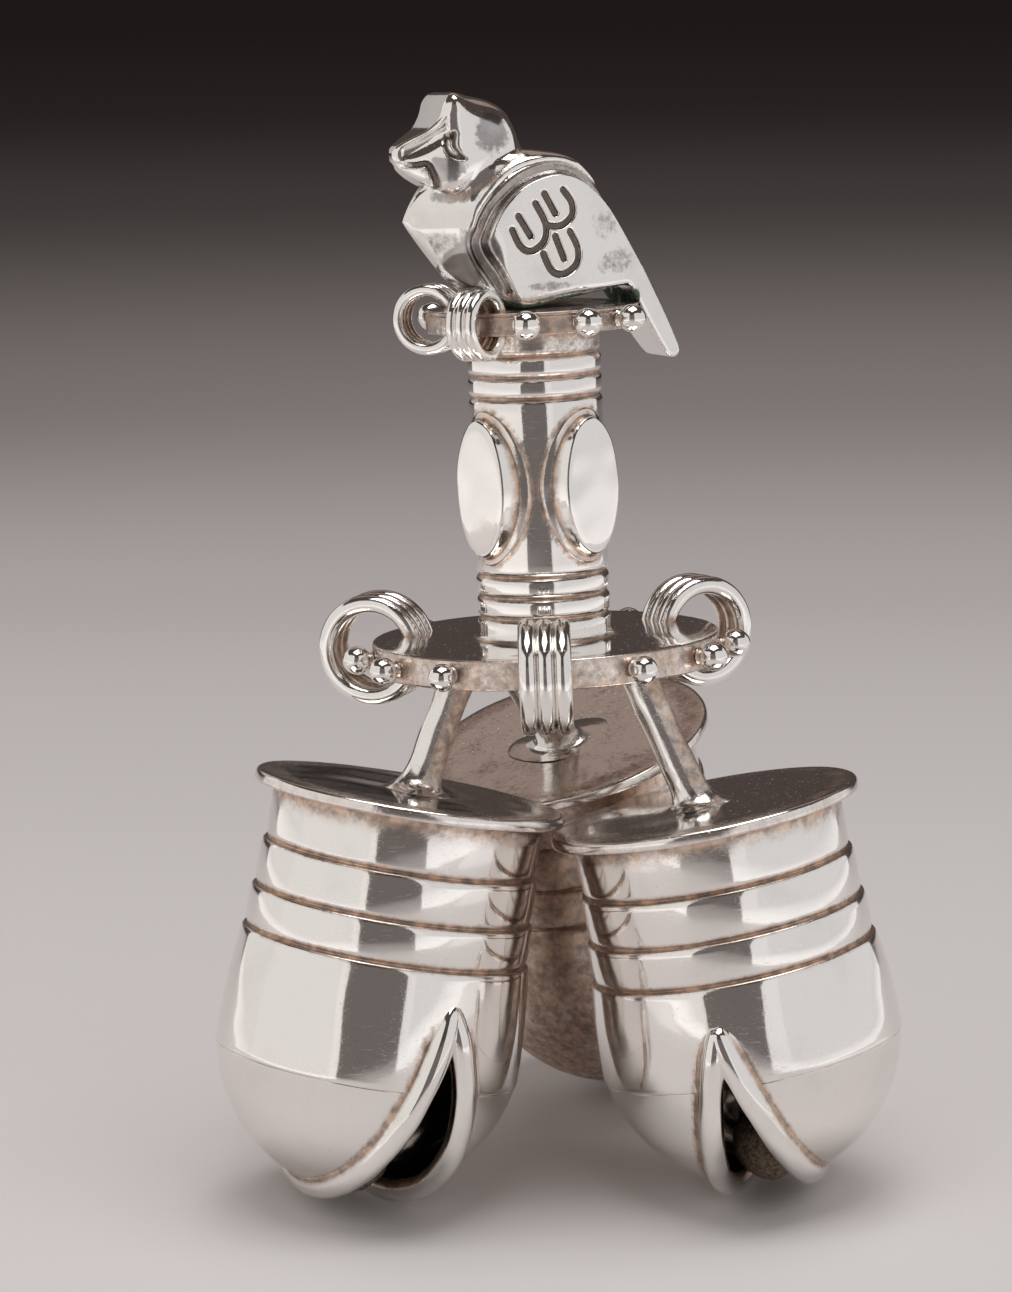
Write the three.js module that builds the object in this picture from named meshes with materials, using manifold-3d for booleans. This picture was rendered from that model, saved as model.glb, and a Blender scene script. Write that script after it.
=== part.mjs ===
// A polished silver rattle that stands on three slotted bells: a tube handle between two disks,
// a bird perched on the upper disk, and three splayed struts below the lower one.
// Sizes are in millimetres, angles in degrees, +Z is up and the viewer looks along +Y.
import * as THREE from 'three';
import { mergeVertices } from 'three/addons/utils/BufferGeometryUtils.js';
import Module from 'manifold-3d';

const wasm = await Module();
wasm.setup();

// Room left between soldered pieces, and how far a cutting tool runs past what it cuts
const solderGap = 0.25;
const overrun = 5;

// How the handle stands over the bells: the height of the lower disk's underside above the ground,
// its shift along X, and the small lean to the back and to the left that it was soldered with
const handleHeight = 57.9;
const handleShift = -1;
const handleLeanBack = 3.6;
const handleLeanLeft = 1.5;

// Lower disk
const lowerDiskRadius = 19.4;
const lowerDiskThickness = 3.3;
const lowerDiskEdge = 0.5;

// Handle tube with three rounded bands at each end
const tubeRadius = 7.45;
const tubeWall = 1;
const tubeLength = 33.8;
const bandPitch = 2.35;
const bandCount = 3;
const bandGroove = 0.4;
const grooveWidth = 0.7;

// Oval bosses on the tube
const bossHalfWidth = 4.1;
const bossHalfHeight = 7.7;
const bossRise = 1.25;
const bossBevel = 0.6;
const bossAzimuths = [315, 220, 87];

// Upper disk
const upperDiskRadius = 11.8;
const upperDiskThickness = 2.5;
const upperDiskEdge = 0.4;

// Triple-wire loops that grip the rims: wire size and the loop's own size
const lowerLoopRadius = 5.3;
const lowerWireRadius = 0.95;
const lowerLoopAzimuths = [31, 162, 270];
const upperLoopRadius = 3.3;
const upperWireRadius = 0.62;
const upperLoopSpread = 38.5;
const lowerLoopStandOff = 0.7;
const upperLoopStandOff = 0.1;
const wiresPerLoop = 3;

// Balls soldered round the rims, in threes between the lower loops and beside the upper ones
const ballRadius = 1.6;
const ballNeckRadius = 0.6;
const lowerBallAzimuths = [63, 96, 131, 188, 213, 238, 300, 330, 357];
const upperBallSpreads = { left: [56, 86, 116], right: [66, 95, 122] };

// Bells: a lid, a stepped sleeve and a round cup, all turned about the bell's axis
const cupRadius = 16.9;
const bellWall = 0.9;
const seamDrop = 2.3;
const lidRadius = 17.3;
const lidThickness = 1.3;
const lidEdge = 0.35;
const sleeveTopRadius = 15;
const bandHeights = [6, 5.2, 4.6];
const bandStep = 0.38;
const bandRound = 0.45;
const lowerSleeveHeight = 9.9;
const lowerSleeveBulge = 0.15;

// Slot across the bottom of each bell and the round lips along it. One end of the slot rises
// past the seam and the other ends below it, so that the cup stays in one piece.
const slotHalfAngle = 17;
const slotLowEnd = -6;
const lipRadius = 1.35;
const lipStandOff = 0.1;

// Loose pellet in each bell
const pelletRadius = 4.3;

// Lengths that differ between the bells: how far out the lid is, how much the sleeve is drawn out
// beyond its bands and lower part, and how high one end of the slot rises
const rearLidDistance = 20.3;
const frontLidDistance = 18.6;
const leftStretch = 1;
const rightStretch = -1.2;
const rearSlotHighEnd = 4.2;
const leftSlotHighEnd = 6.8;
const rightSlotHighEnd = 3.6;

// Each bell: the side it hangs on, how far and which way its foot splays out, how its slot is turned
// and on which side its strut meets the lower disk. The left lid passes just over the right one.
const bells = [
  {
    name: 'rear', azimuth: 88, lidDistance: rearLidDistance, splay: 16, splayAzimuth: 40,
    stretch: 0, slotTurn: 140, slotHighEnd: rearSlotHighEnd, strutAzimuth: 117,
  },
  {
    name: 'front_left', azimuth: 210, lidDistance: frontLidDistance, splay: 13, splayAzimuth: 217,
    stretch: leftStretch, slotTurn: 2, slotHighEnd: leftSlotHighEnd, strutAzimuth: 210,
  },
  {
    name: 'front_right', azimuth: 330, lidDistance: frontLidDistance, splay: 12, splayAzimuth: 334,
    stretch: rightStretch, slotTurn: 198, slotHighEnd: rightSlotHighEnd, strutAzimuth: 330,
  },
];

// Struts from the lower disk to the lids
const strutRadius = 1.95;
const strutTopRadius = 11.2;
const strutFootInset = 0.8;
const strutFlare = 1.2;
const strutFlareLength = 1.8;

// Bird: size of the whole figure and the way it faces
const birdHeading = 201.5;
const birdLength = 32.4;
const birdHeight = 23.5;
const bodyWidth = 13;
const headWidth = 10;
const wingThickness = 1.1;
const perchRadius = 2.2;
const perchHeight = 2.6;

// Stations of the body and the head from back to front: place along the bird's length,
// top and bottom as shares of its height, width as a share of the piece's own width
const bodyShares = [
  [-0.511, -0.228, -0.278, 0.3],
  [-0.458, -0.03, -0.192, 0.42],
  [-0.399, 0.141, -0.012, 0.52],
  [-0.323, 0.326, 0.041, 0.64],
  [-0.211, 0.549, 0.038, 0.86],
  [-0.147, 0.659, 0.032, 0.95],
  [-0.065, 0.718, 0.03, 1],
  [0.041, 0.733, 0.035, 1],
  [0.132, 0.748, 0.058, 0.98],
  [0.22, 0.72, 0.1, 0.92],
  [0.278, 0.686, 0.145, 0.84],
  [0.352, 0.612, 0.232, 0.66],
  [0.405, 0.537, 0.327, 0.42],
  [0.435, 0.469, 0.409, 0.16],
];
const headShares = [
  [0.044, 0.77, 0.725, 0.2],
  [0.073, 0.858, 0.668, 0.55],
  [0.117, 0.943, 0.611, 0.8],
  [0.196, 1.005, 0.571, 0.97],
  [0.285, 1.012, 0.556, 1],
  [0.32, 0.975, 0.558, 0.96],
  [0.352, 0.895, 0.562, 0.84],
  [0.404, 0.835, 0.585, 0.62],
  [0.437, 0.806, 0.609, 0.44],
  [0.463, 0.785, 0.642, 0.3],
  [0.484, 0.757, 0.681, 0.17],
  [0.489, 0.74, 0.708, 0.1],
];
// Outline of a wing: place along the bird's length and height share, round from the shoulder
const wingShares = [
  [0.129, 0.251], [0.123, 0.403], [0.05, 0.525], [-0.065, 0.596], [-0.147, 0.593],
  [-0.235, 0.492], [-0.323, 0.322], [-0.399, 0.141], [-0.458, -0.019], [-0.505, -0.218],
  [-0.485, -0.241], [-0.415, -0.075], [-0.323, 0.073], [-0.075, 0.08], [0.058, 0.136],
];

// How finely round shapes are divided
const tubeSides = 24;
const diskSides = 32;
const bellSides = 24;
const bossSides = 20;
const wireSides = 14;
const ballSides = 10;
const ballRows = 5;
const strutSides = 14;
const lipSides = 8;
const lipSteps = 16;
const sectionSides = 16;
const cupRows = 5;

// Heights in the handle's own axes, counted from the underside of the lower disk
const tubeBottom = lowerDiskThickness + solderGap;
const upperDiskBottom = tubeBottom + tubeLength + solderGap;
const upperDiskTop = upperDiskBottom + upperDiskThickness;

const silver = { color: 0xd8d4cb, metalness: 1, roughness: 0.22 };
const wornSilver = { color: 0xb9b2a6, metalness: 1, roughness: 0.32 };
const pelletStone = { color: 0x6f6253, metalness: 0.1, roughness: 0.85 };

const degrees = (angle) => THREE.MathUtils.degToRad(angle);

function polar(radius, azimuth, height) {
  return new THREE.Vector3(radius * Math.cos(degrees(azimuth)), radius * Math.sin(degrees(azimuth)), height);
}

// Closed shapes

// Merges a geometry's corners, drops triangles without area and turns it so that its faces point out
function closed(geometry) {
  const plain = geometry.index ? geometry.clone() : mergeVertices(geometry);
  plain.deleteAttribute('normal');
  plain.deleteAttribute('uv');
  const merged = mergeVertices(plain);
  const place = merged.attributes.position;
  const corners = [0, 1, 2].map(() => new THREE.Vector3());
  const kept = [];
  let volume = 0;
  for (let first = 0; first < merged.index.count; first += 3) {
    const [a, b, c] = [0, 1, 2].map((step) => merged.index.getX(first + step));
    if (a === b || b === c || c === a) continue;
    kept.push([a, b, c]);
    [a, b, c].forEach((corner, at) => corners[at].fromBufferAttribute(place, corner));
    volume += corners[0].dot(corners[1].cross(corners[2]));
  }
  const facing = volume < 0 ? kept.map(([a, b, c]) => [a, c, b]) : kept;
  merged.setIndex(facing.flat());
  return merged;
}

function solid(geometry) {
  const whole = closed(geometry);
  const mesh = new wasm.Mesh({
    numProp: 3,
    vertProperties: new Float32Array(whole.attributes.position.array),
    triVerts: new Uint32Array(whole.index.array),
  });
  return new wasm.Manifold(mesh);
}

function shapeOf(manifold) {
  const mesh = manifold.getMesh();
  const geometry = new THREE.BufferGeometry();
  geometry.setAttribute('position', new THREE.BufferAttribute(new Float32Array(mesh.vertProperties), 3));
  geometry.setIndex(new THREE.BufferAttribute(new Uint32Array(mesh.triVerts), 1));
  return geometry;
}

// A profile of [radius, height] points turned about the Z axis
function turned(profile, sides) {
  const points = profile.map(([radius, height]) => new THREE.Vector2(radius, height));
  return closed(new THREE.LatheGeometry(points, sides).rotateX(degrees(90)));
}

// A skin over rings of equally many points, with flat ends
function skin(rings) {
  const around = rings[0].length;
  const geometry = new THREE.BufferGeometry().setFromPoints(rings.flat());
  const index = [];
  for (let ring = 0; ring + 1 < rings.length; ring += 1) {
    for (let at = 0; at < around; at += 1) {
      const a = ring * around + at;
      const b = ring * around + (at + 1) % around;
      index.push(a, b, a + around, b, b + around, a + around);
    }
  }
  const last = (rings.length - 1) * around;
  for (let at = 1; at + 1 < around; at += 1) {
    index.push(0, at + 1, at, last, last + at, last + at + 1);
  }
  geometry.setIndex(index);
  return closed(geometry);
}

function node(name, geometry, look) {
  geometry.computeVertexNormals();
  const mesh = new THREE.Mesh(geometry, new THREE.MeshStandardMaterial(look));
  mesh.name = name;
  return mesh;
}

function placed(geometry, position, turn = 0) {
  return geometry.clone().rotateZ(degrees(turn)).translate(position.x, position.y, position.z);
}

// A flat plate with bevelled rim edges, standing on z = 0
function plate(radius, thickness, edge, sides) {
  return turned([
    [0, 0], [radius - edge, 0], [radius, edge],
    [radius, thickness - edge], [radius - edge, thickness], [0, thickness],
  ], sides);
}

// Handle

function handleTube() {
  const outside = [[tubeRadius, 0]];
  const grooveHalf = grooveWidth / 2;
  const groove = (height) => [
    [tubeRadius, height - grooveHalf], [tubeRadius - bandGroove, height], [tubeRadius, height + grooveHalf],
  ];
  for (let at = 1; at <= bandCount; at += 1) {
    outside.push(...groove(at * bandPitch));
  }
  for (let at = bandCount; at >= 1; at -= 1) {
    outside.push(...groove(tubeLength - at * bandPitch));
  }
  outside.push([tubeRadius, tubeLength]);
  const bore = tubeRadius - tubeWall;
  return turned([...outside, [bore, tubeLength], [bore, 0], outside[0]], tubeSides);
}

// An oval pad with a bevelled edge, hollowed at the back to lie against the tube
function boss() {
  const oval = new THREE.Shape();
  const flat = { width: bossHalfWidth - bossBevel, height: bossHalfHeight - bossBevel };
  oval.absellipse(0, 0, flat.width, flat.height, 0, degrees(360));
  const pad = new THREE.ExtrudeGeometry(oval, {
    depth: tubeRadius + bossRise - bossBevel,
    bevelThickness: bossBevel,
    bevelSize: bossBevel,
    bevelSegments: 2,
    curveSegments: bossSides / 2,
  });
  pad.rotateX(degrees(90)).rotateZ(degrees(90));
  const tube = turned([
    [0, -bossHalfHeight - overrun], [tubeRadius + solderGap, -bossHalfHeight - overrun],
    [tubeRadius + solderGap, bossHalfHeight + overrun], [0, bossHalfHeight + overrun],
  ], tubeSides);
  const back = new THREE.BoxGeometry(2 * overrun, 4 * bossHalfWidth, 4 * bossHalfHeight);
  back.translate(-overrun, 0, 0);
  return shapeOf(solid(pad).subtract(solid(tube)).subtract(solid(back)));
}

// Loops and balls

// Three wires side by side, bent to a ring about the Y axis
function tripleRing(ringRadius, wireRadius) {
  const profile = [];
  const sideAngles = [180, 130, 50, 0];
  for (let wire = 0; wire < wiresPerLoop; wire += 1) {
    const middle = (2 * wire - (wiresPerLoop - 1)) * wireRadius;
    for (const angle of sideAngles.slice(wire === 0 ? 0 : 1)) {
      profile.push([
        ringRadius + wireRadius * Math.sin(degrees(angle)),
        middle + wireRadius * Math.cos(degrees(angle)),
      ]);
    }
  }
  const half = wiresPerLoop * wireRadius;
  const inner = ringRadius - wireRadius;
  profile.push([inner, half - wireRadius / 2], [inner, -half + wireRadius / 2], profile[0]);
  return turned(profile, wireSides).rotateX(degrees(90));
}

// A loop that grips the rim of a disk: the ring with the disk's room cut out of it.
// It lies in the plane of the disk's axis, at the height of the middle of the disk.
function rimLoop(ringRadius, wireRadius, standOff, diskRadius, diskThickness) {
  const ring = tripleRing(ringRadius, wireRadius).translate(diskRadius + standOff, 0, 0);
  const room = turned([
    [0, -diskThickness / 2 - solderGap], [diskRadius + solderGap, -diskThickness / 2 - solderGap],
    [diskRadius + solderGap, diskThickness / 2 + solderGap], [0, diskThickness / 2 + solderGap],
  ], 2 * diskSides);
  return shapeOf(solid(ring).subtract(solid(room)));
}

// A ball on a short neck along the X axis, its neck's flat end just off the rim
function rimBall(diskRadius) {
  const neckAngle = Math.asin(ballNeckRadius / ballRadius);
  const profile = [[0, -ballRadius], [ballNeckRadius, -ballRadius]];
  for (let row = 0; row < ballRows; row += 1) {
    const angle = Math.PI - neckAngle - (Math.PI - neckAngle) * row / ballRows;
    profile.push([ballRadius * Math.sin(angle), ballRadius * Math.cos(angle)]);
  }
  profile.push([0, ballRadius]);
  const ball = turned(profile, ballSides).rotateY(degrees(90));
  return ball.translate(diskRadius + solderGap + ballRadius, 0, 0);
}

// Bells, each in its own axes: the cup's centre is the origin and +Z points to the lid

const bandsHeight = bandHeights.reduce((sum, height) => sum + height);
const sleeveTop = (bell) => bandsHeight + lowerSleeveHeight + bell.stretch;

function sleeveProfile(bell) {
  const top = sleeveTop(bell);
  const profile = [];
  let height = top;
  bandHeights.forEach((band, at) => {
    const radius = sleeveTopRadius + at * bandStep;
    const edge = at === 0 ? 0 : bandRound / 2;
    profile.push([radius, height - edge], [radius, height - band + bandRound]);
    profile.push([radius - bandRound, height - band]);
    height -= band;
  });
  const lastRadius = sleeveTopRadius + bandHeights.length * bandStep;
  profile.push([lastRadius, height - bandRound / 2]);
  const midRadius = (lastRadius + cupRadius) / 2 + lowerSleeveBulge;
  profile.push([midRadius, height / 2], [cupRadius, 0], [cupRadius, solderGap - seamDrop]);
  profile.push([cupRadius - bellWall, solderGap - seamDrop], [cupRadius - bellWall, 0]);
  profile.push([midRadius - bellWall, height / 2], [lastRadius - bellWall - bandRound, height]);
  profile.push([sleeveTopRadius - bellWall, top]);
  profile.push(profile[0]);
  return profile;
}

function cupProfile() {
  const start = Math.asin(seamDrop / cupRadius);
  const outside = [];
  const inside = [];
  for (let row = 0; row <= cupRows; row += 1) {
    const angle = start + (Math.PI / 2 - start) * row / cupRows;
    const across = row === cupRows ? 0 : Math.cos(angle);
    outside.push([cupRadius * across, -cupRadius * Math.sin(angle)]);
    const inner = Math.max(cupRadius * Math.sin(start), (cupRadius - bellWall) * Math.sin(angle));
    inside.unshift([(cupRadius - bellWall) * across, row === 0 ? -seamDrop : -inner]);
  }
  return [...outside, ...inside, outside[0]];
}

// The line through both ends of the slot, across the bell's Y axis: its pitch and its height
const slotPitch = (bell) => Math.asin((bell.slotHighEnd - slotLowEnd) / (2 * cupRadius));
const slotLineHeight = (bell) => (bell.slotHighEnd + slotLowEnd) / 2;

// The middle lines of both lips: each runs from end to end under the cup, along a circle
// that is tilted about the slot's line
function lipLines(bell) {
  const tilt = degrees(slotHalfAngle);
  const lipSphere = cupRadius + lipStandOff;
  const offset = slotLineHeight(bell) * Math.sin(tilt);
  const circleRadius = Math.sqrt(lipSphere ** 2 - offset ** 2);
  const endAngle = Math.asin(slotLineHeight(bell) * Math.cos(tilt) / circleRadius);
  return [-1, 1].map((side) => {
    const centre = new THREE.Vector3(side * offset * Math.cos(tilt), 0, offset * Math.sin(tilt));
    const down = new THREE.Vector3(side * Math.sin(tilt), 0, -Math.cos(tilt));
    const along = new THREE.Vector3(0, 1, 0);
    const points = [];
    for (let step = 0; step <= lipSteps; step += 1) {
      const angle = -endAngle + (Math.PI + 2 * endAngle) * step / lipSteps;
      const point = centre.clone()
        .addScaledVector(along, circleRadius * Math.cos(angle))
        .addScaledVector(down, circleRadius * Math.sin(angle));
      points.push(point.applyAxisAngle(new THREE.Vector3(1, 0, 0), slotPitch(bell)));
    }
    return points;
  });
}

function lipPair(bell, radius) {
  const section = new THREE.Shape().absarc(0, 0, radius, 0, degrees(360));
  const parts = lipLines(bell).map((points) => solid(new THREE.ExtrudeGeometry(section, {
    steps: lipSteps, curveSegments: lipSides / 2, extrudePath: new THREE.CatmullRomCurve3(points),
  })));
  return parts[0].add(parts[1]);
}

// The room of the slot: a wedge below the line through both ends, with room for the lips
function slotRoom(bell) {
  const depth = 2 * cupRadius;
  const half = depth * Math.tan(degrees(slotHalfAngle));
  const wedge = new THREE.Shape([
    new THREE.Vector2(0, slotLineHeight(bell)),
    new THREE.Vector2(-half, slotLineHeight(bell) - depth),
    new THREE.Vector2(half, slotLineHeight(bell) - depth),
  ]);
  const reach = cupRadius + overrun;
  const prism = new THREE.ExtrudeGeometry(wedge, { depth: 2 * reach, bevelEnabled: false });
  prism.translate(0, 0, -reach).rotateX(degrees(90)).rotateX(slotPitch(bell));
  return solid(prism).add(lipPair(bell, lipRadius + solderGap));
}

// How the bell's own axes are turned in the whole: +X splays out and +Z leans in
function bellTurn(bell) {
  const turn = new THREE.Matrix4().makeRotationZ(degrees(bell.splayAzimuth));
  turn.multiply(new THREE.Matrix4().makeRotationY(-degrees(bell.splay)));
  const slotTurn = bell.slotTurn + bell.azimuth - bell.splayAzimuth;
  return turn.multiply(new THREE.Matrix4().makeRotationZ(degrees(slotTurn)));
}

const lidTop = (bell) => sleeveTop(bell) + solderGap + lidThickness;

// Height at which the pellet rests on the lips, or on the cup where the slot is too narrow
function pelletRest(bell) {
  const reach = pelletRadius + lipRadius + solderGap;
  const rests = lipLines(bell).flat().map((point) => {
    const aside = Math.hypot(point.x, point.y);
    return aside < reach ? point.z + Math.sqrt(reach ** 2 - aside ** 2) : -cupRadius;
  });
  return Math.max(...rests);
}

function buildBell(bell) {
  const turn = bellTurn(bell);
  const lipShape = shapeOf(lipPair(bell, lipRadius));
  const room = slotRoom(bell);
  const standing = lipShape.clone().applyMatrix4(turn);
  standing.computeBoundingBox();
  const centreHeight = -standing.boundingBox.min.z;
  const up = new THREE.Vector3(0, 0, 1).transformDirection(turn);
  const lidCentre = polar(bell.lidDistance, bell.azimuth, centreHeight + lidTop(bell) * up.z);
  const centre = lidCentre.addScaledVector(up, -lidTop(bell));
  const group = new THREE.Group();
  group.applyMatrix4(turn);
  group.position.copy(centre);
  const lid = plate(lidRadius, lidThickness, lidEdge, bellSides).translate(0, 0, lidTop(bell) - lidThickness);
  const sleeve = shapeOf(solid(turned(sleeveProfile(bell), bellSides)).subtract(room));
  const cup = shapeOf(solid(turned(cupProfile(), bellSides)).subtract(room));
  const pellet = new THREE.SphereGeometry(pelletRadius, ballSides, ballRows);
  pellet.rotateX(degrees(90)).translate(0, 0, pelletRest(bell));
  group.add(node(`lid_${bell.name}`, lid, silver));
  group.add(node(`sleeve_${bell.name}`, sleeve, silver));
  group.add(node(`cup_${bell.name}`, cup, silver));
  group.add(node(`lips_${bell.name}`, lipShape, silver));
  group.add(node(`pellet_${bell.name}`, closed(pellet), pelletStone));
  return group;
}

// A rod from the lower disk to a lid, flared where it is soldered and cut along both faces
function strut(bell, bellGroup, handle) {
  const top = polar(strutTopRadius, bell.strutAzimuth, 0).applyMatrix4(handle.matrix);
  const up = new THREE.Vector3(0, 0, 1).applyQuaternion(bellGroup.quaternion);
  const foot = bellGroup.position.clone().addScaledVector(up, lidTop(bell));
  const inward = top.clone().sub(foot).projectOnPlane(up).normalize();
  foot.addScaledVector(inward, strutFootInset);
  const along = top.clone().sub(foot);
  const length = along.length();
  const wide = strutRadius + strutFlare;
  const rod = turned([
    [0, -overrun], [wide, -overrun], [wide, 0], [strutRadius, strutFlareLength],
    [strutRadius, length - strutFlareLength], [wide, length], [wide, length + overrun], [0, length + overrun],
  ], strutSides);
  rod.applyQuaternion(new THREE.Quaternion().setFromUnitVectors(
    new THREE.Vector3(0, 0, 1), along.clone().normalize()));
  rod.translate(foot.x, foot.y, foot.z);
  const above = new THREE.BoxGeometry(4 * lowerDiskRadius, 4 * lowerDiskRadius, 4 * overrun);
  above.translate(0, 0, 2 * overrun - solderGap).applyMatrix4(handle.matrix);
  const below = new THREE.BoxGeometry(4 * lidRadius, 4 * lidRadius, 4 * overrun);
  below.translate(0, 0, lidTop(bell) + solderGap - 2 * overrun).applyMatrix4(bellGroup.matrix);
  return shapeOf(solid(rod).subtract(solid(above)).subtract(solid(below)));
}

// Bird, in its own axes: +X is the way it faces and z = 0 is the top of its perch

// An oval section for each station, wider and taller than the figure by the given amount
function birdSkin(shares, width, growth) {
  return skin(shares.map(([along, top, bottom, wide]) => {
    const middle = birdHeight * (top + bottom) / 2;
    const tall = birdHeight * (top - bottom) / 2 + growth;
    const half = width / 2 * wide + growth;
    const ring = [];
    for (let at = 0; at < sectionSides; at += 1) {
      const angle = degrees(360) * at / sectionSides;
      ring.push(new THREE.Vector3(
        birdLength * along, half * Math.cos(angle), middle + tall * Math.sin(angle)));
    }
    return ring;
  }));
}

function birdBody() {
  const perch = new THREE.CylinderGeometry(perchRadius, perchRadius, perchHeight, ballSides);
  perch.rotateX(degrees(90)).translate(0, 0, solderGap + perchHeight / 2);
  return solid(birdSkin(bodyShares, bodyWidth, 0))
    .add(solid(birdSkin(headShares, headWidth, 0)))
    .add(solid(perch));
}

// A wing is a curved plate over one side of the body, within the wing's outline
function wing(side) {
  const outline = new THREE.Shape(wingShares.map(([along, height]) => (
    new THREE.Vector2(birdLength * along, birdHeight * height))));
  const slab = new THREE.ExtrudeGeometry(outline, { depth: bodyWidth, bevelEnabled: false });
  slab.rotateX(degrees(90));
  if (side > 0) slab.translate(0, bodyWidth, 0);
  const over = solid(birdSkin(bodyShares, bodyWidth, solderGap + wingThickness));
  const under = solid(birdSkin(bodyShares, bodyWidth, solderGap));
  const middle = new THREE.BoxGeometry(2 * birdLength, 2 * solderGap, 4 * birdHeight);
  return shapeOf(over.subtract(under).intersect(solid(slab)).subtract(solid(middle)));
}

// The whole

const rattle = new THREE.Group();

const handle = new THREE.Group();
handle.rotation.set(-degrees(handleLeanBack), -degrees(handleLeanLeft), 0);
handle.position.set(handleShift, 0, handleHeight);
handle.updateMatrix();
rattle.add(handle);

for (const bell of bells) {
  const bellGroup = buildBell(bell);
  bellGroup.updateMatrix();
  rattle.add(bellGroup);
  rattle.add(node(`strut_${bell.name}`, strut(bell, bellGroup, handle), silver));
}

const onAxis = (height) => new THREE.Vector3(0, 0, height);
const lowerDisk = plate(lowerDiskRadius, lowerDiskThickness, lowerDiskEdge, diskSides);
const upperDisk = plate(upperDiskRadius, upperDiskThickness, upperDiskEdge, diskSides);
handle.add(node('lower_disk', lowerDisk, silver));
handle.add(node('handle_tube', placed(handleTube(), onAxis(tubeBottom)), silver));
handle.add(node('upper_disk', placed(upperDisk, onAxis(upperDiskBottom)), silver));

bossAzimuths.forEach((azimuth, at) => {
  const pad = placed(boss(), onAxis(tubeBottom + tubeLength / 2), azimuth);
  handle.add(node(`boss_${at + 1}`, pad, silver));
});

const lowerRim = onAxis(lowerDiskThickness / 2);
lowerLoopAzimuths.forEach((azimuth, at) => {
  const loop = rimLoop(
    lowerLoopRadius, lowerWireRadius, lowerLoopStandOff, lowerDiskRadius, lowerDiskThickness);
  handle.add(node(`lower_loop_${at + 1}`, placed(loop, lowerRim, azimuth), wornSilver));
});
lowerBallAzimuths.forEach((azimuth, at) => {
  const ball = placed(rimBall(lowerDiskRadius), lowerRim, azimuth);
  handle.add(node(`lower_ball_${at + 1}`, ball, silver));
});

const upperRim = onAxis(upperDiskBottom + upperDiskThickness / 2);
[['left', -1], ['right', 1]].forEach(([name, side]) => {
  const loop = rimLoop(
    upperLoopRadius, upperWireRadius, upperLoopStandOff, upperDiskRadius, upperDiskThickness);
  const loopTurn = birdHeading + side * upperLoopSpread;
  handle.add(node(`upper_loop_${name}`, placed(loop, upperRim, loopTurn), wornSilver));
  upperBallSpreads[name].forEach((spread, at) => {
    const ball = placed(rimBall(upperDiskRadius), upperRim, birdHeading + side * spread);
    handle.add(node(`upper_ball_${name}_${at + 1}`, ball, silver));
  });
});

const bird = new THREE.Group();
bird.add(node('bird_body', shapeOf(birdBody()), silver));
bird.add(node('bird_wing_left', wing(1), silver));
bird.add(node('bird_wing_right', wing(-1), silver));
bird.rotation.z = degrees(birdHeading);
bird.position.z = upperDiskTop;
handle.add(bird);

// The origin is on the ground, under the middle of the whole part
rattle.updateMatrixWorld(true);
const bounds = new THREE.Box3().setFromObject(rattle, true);
const wholeCentre = bounds.getCenter(new THREE.Vector3());
rattle.position.set(-wholeCentre.x, -wholeCentre.y, -bounds.min.z);

export default rattle;
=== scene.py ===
"""The looks of the rattle bell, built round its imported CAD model: silver pieces with the small
unevenness of handwork, tarnish in the joints, a pale floor and soft studio light.
Lengths are millimetres until a mesh is made, and metres for the floor and the lamps.
The CAD's axes are kept."""
import math

import bpy
import numpy as np
from mathutils import Matrix, Vector
from mathutils.kdtree import KDTree
from numpy.linalg import norm


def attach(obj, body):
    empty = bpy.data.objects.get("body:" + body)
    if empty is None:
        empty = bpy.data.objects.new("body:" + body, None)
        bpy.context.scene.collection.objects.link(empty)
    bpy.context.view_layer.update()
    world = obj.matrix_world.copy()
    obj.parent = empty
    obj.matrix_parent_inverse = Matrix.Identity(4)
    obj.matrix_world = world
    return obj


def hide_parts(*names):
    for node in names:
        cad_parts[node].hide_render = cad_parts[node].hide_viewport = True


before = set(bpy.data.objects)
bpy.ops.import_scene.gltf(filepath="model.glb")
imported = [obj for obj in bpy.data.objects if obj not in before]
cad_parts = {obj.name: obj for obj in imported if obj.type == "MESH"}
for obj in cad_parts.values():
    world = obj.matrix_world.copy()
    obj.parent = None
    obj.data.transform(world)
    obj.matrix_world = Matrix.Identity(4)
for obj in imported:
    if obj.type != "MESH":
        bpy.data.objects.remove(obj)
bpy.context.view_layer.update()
MM = 0.001
FULL_TURN = 2 * math.pi

# Sizes and places of the CAD model: angles in degrees, a disk as radius and thickness
CENTRE = np.array([0.1061, -5.9342, 0.0])
HANDLE_ASIDE, HANDLE_HEIGHT = -1, 57.9
LEAN_BACK, LEAN_LEFT = -3.6, -1.5
LOWER_DISK, UPPER_DISK = (19.4, 3.3), (11.8, 2.5)
TUBE_RADIUS, TUBE_LENGTH, GAP = 7.45, 33.8, 0.25
TUBE_FOOT = LOWER_DISK[1] + GAP
UPPER_FOOT = TUBE_FOOT + TUBE_LENGTH + GAP
BIRD_FOOT, BIRD_AZIMUTH = UPPER_FOOT + UPPER_DISK[1], 201.5
BOSS_WIDE, BOSS_TALL, BOSS_RISE = 4.1, 7.7, 1.25
LOWER_LOOPS = dict(stand_off=0.7, ring_radius=5.3, wire=0.95, groove_reach=0.32)
UPPER_LOOPS = dict(stand_off=0.1, ring_radius=3.3, wire=0.62, groove_reach=0.24)
BALL_RADIUS = 1.6
CUP_RADIUS, WALL, SEAM = 16.9, 0.9, 2.3
LID_RADIUS, LID_THICK = 17.3, 1.3
SLEEVE_TOP_RADIUS, BAND_HEIGHTS, BAND_STEP, LOWER_SLEEVE = 15, (6, 5.2, 4.6), 0.38, 9.9
SLOT_ANGLE, SLOT_LOW = 17, -6
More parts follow.
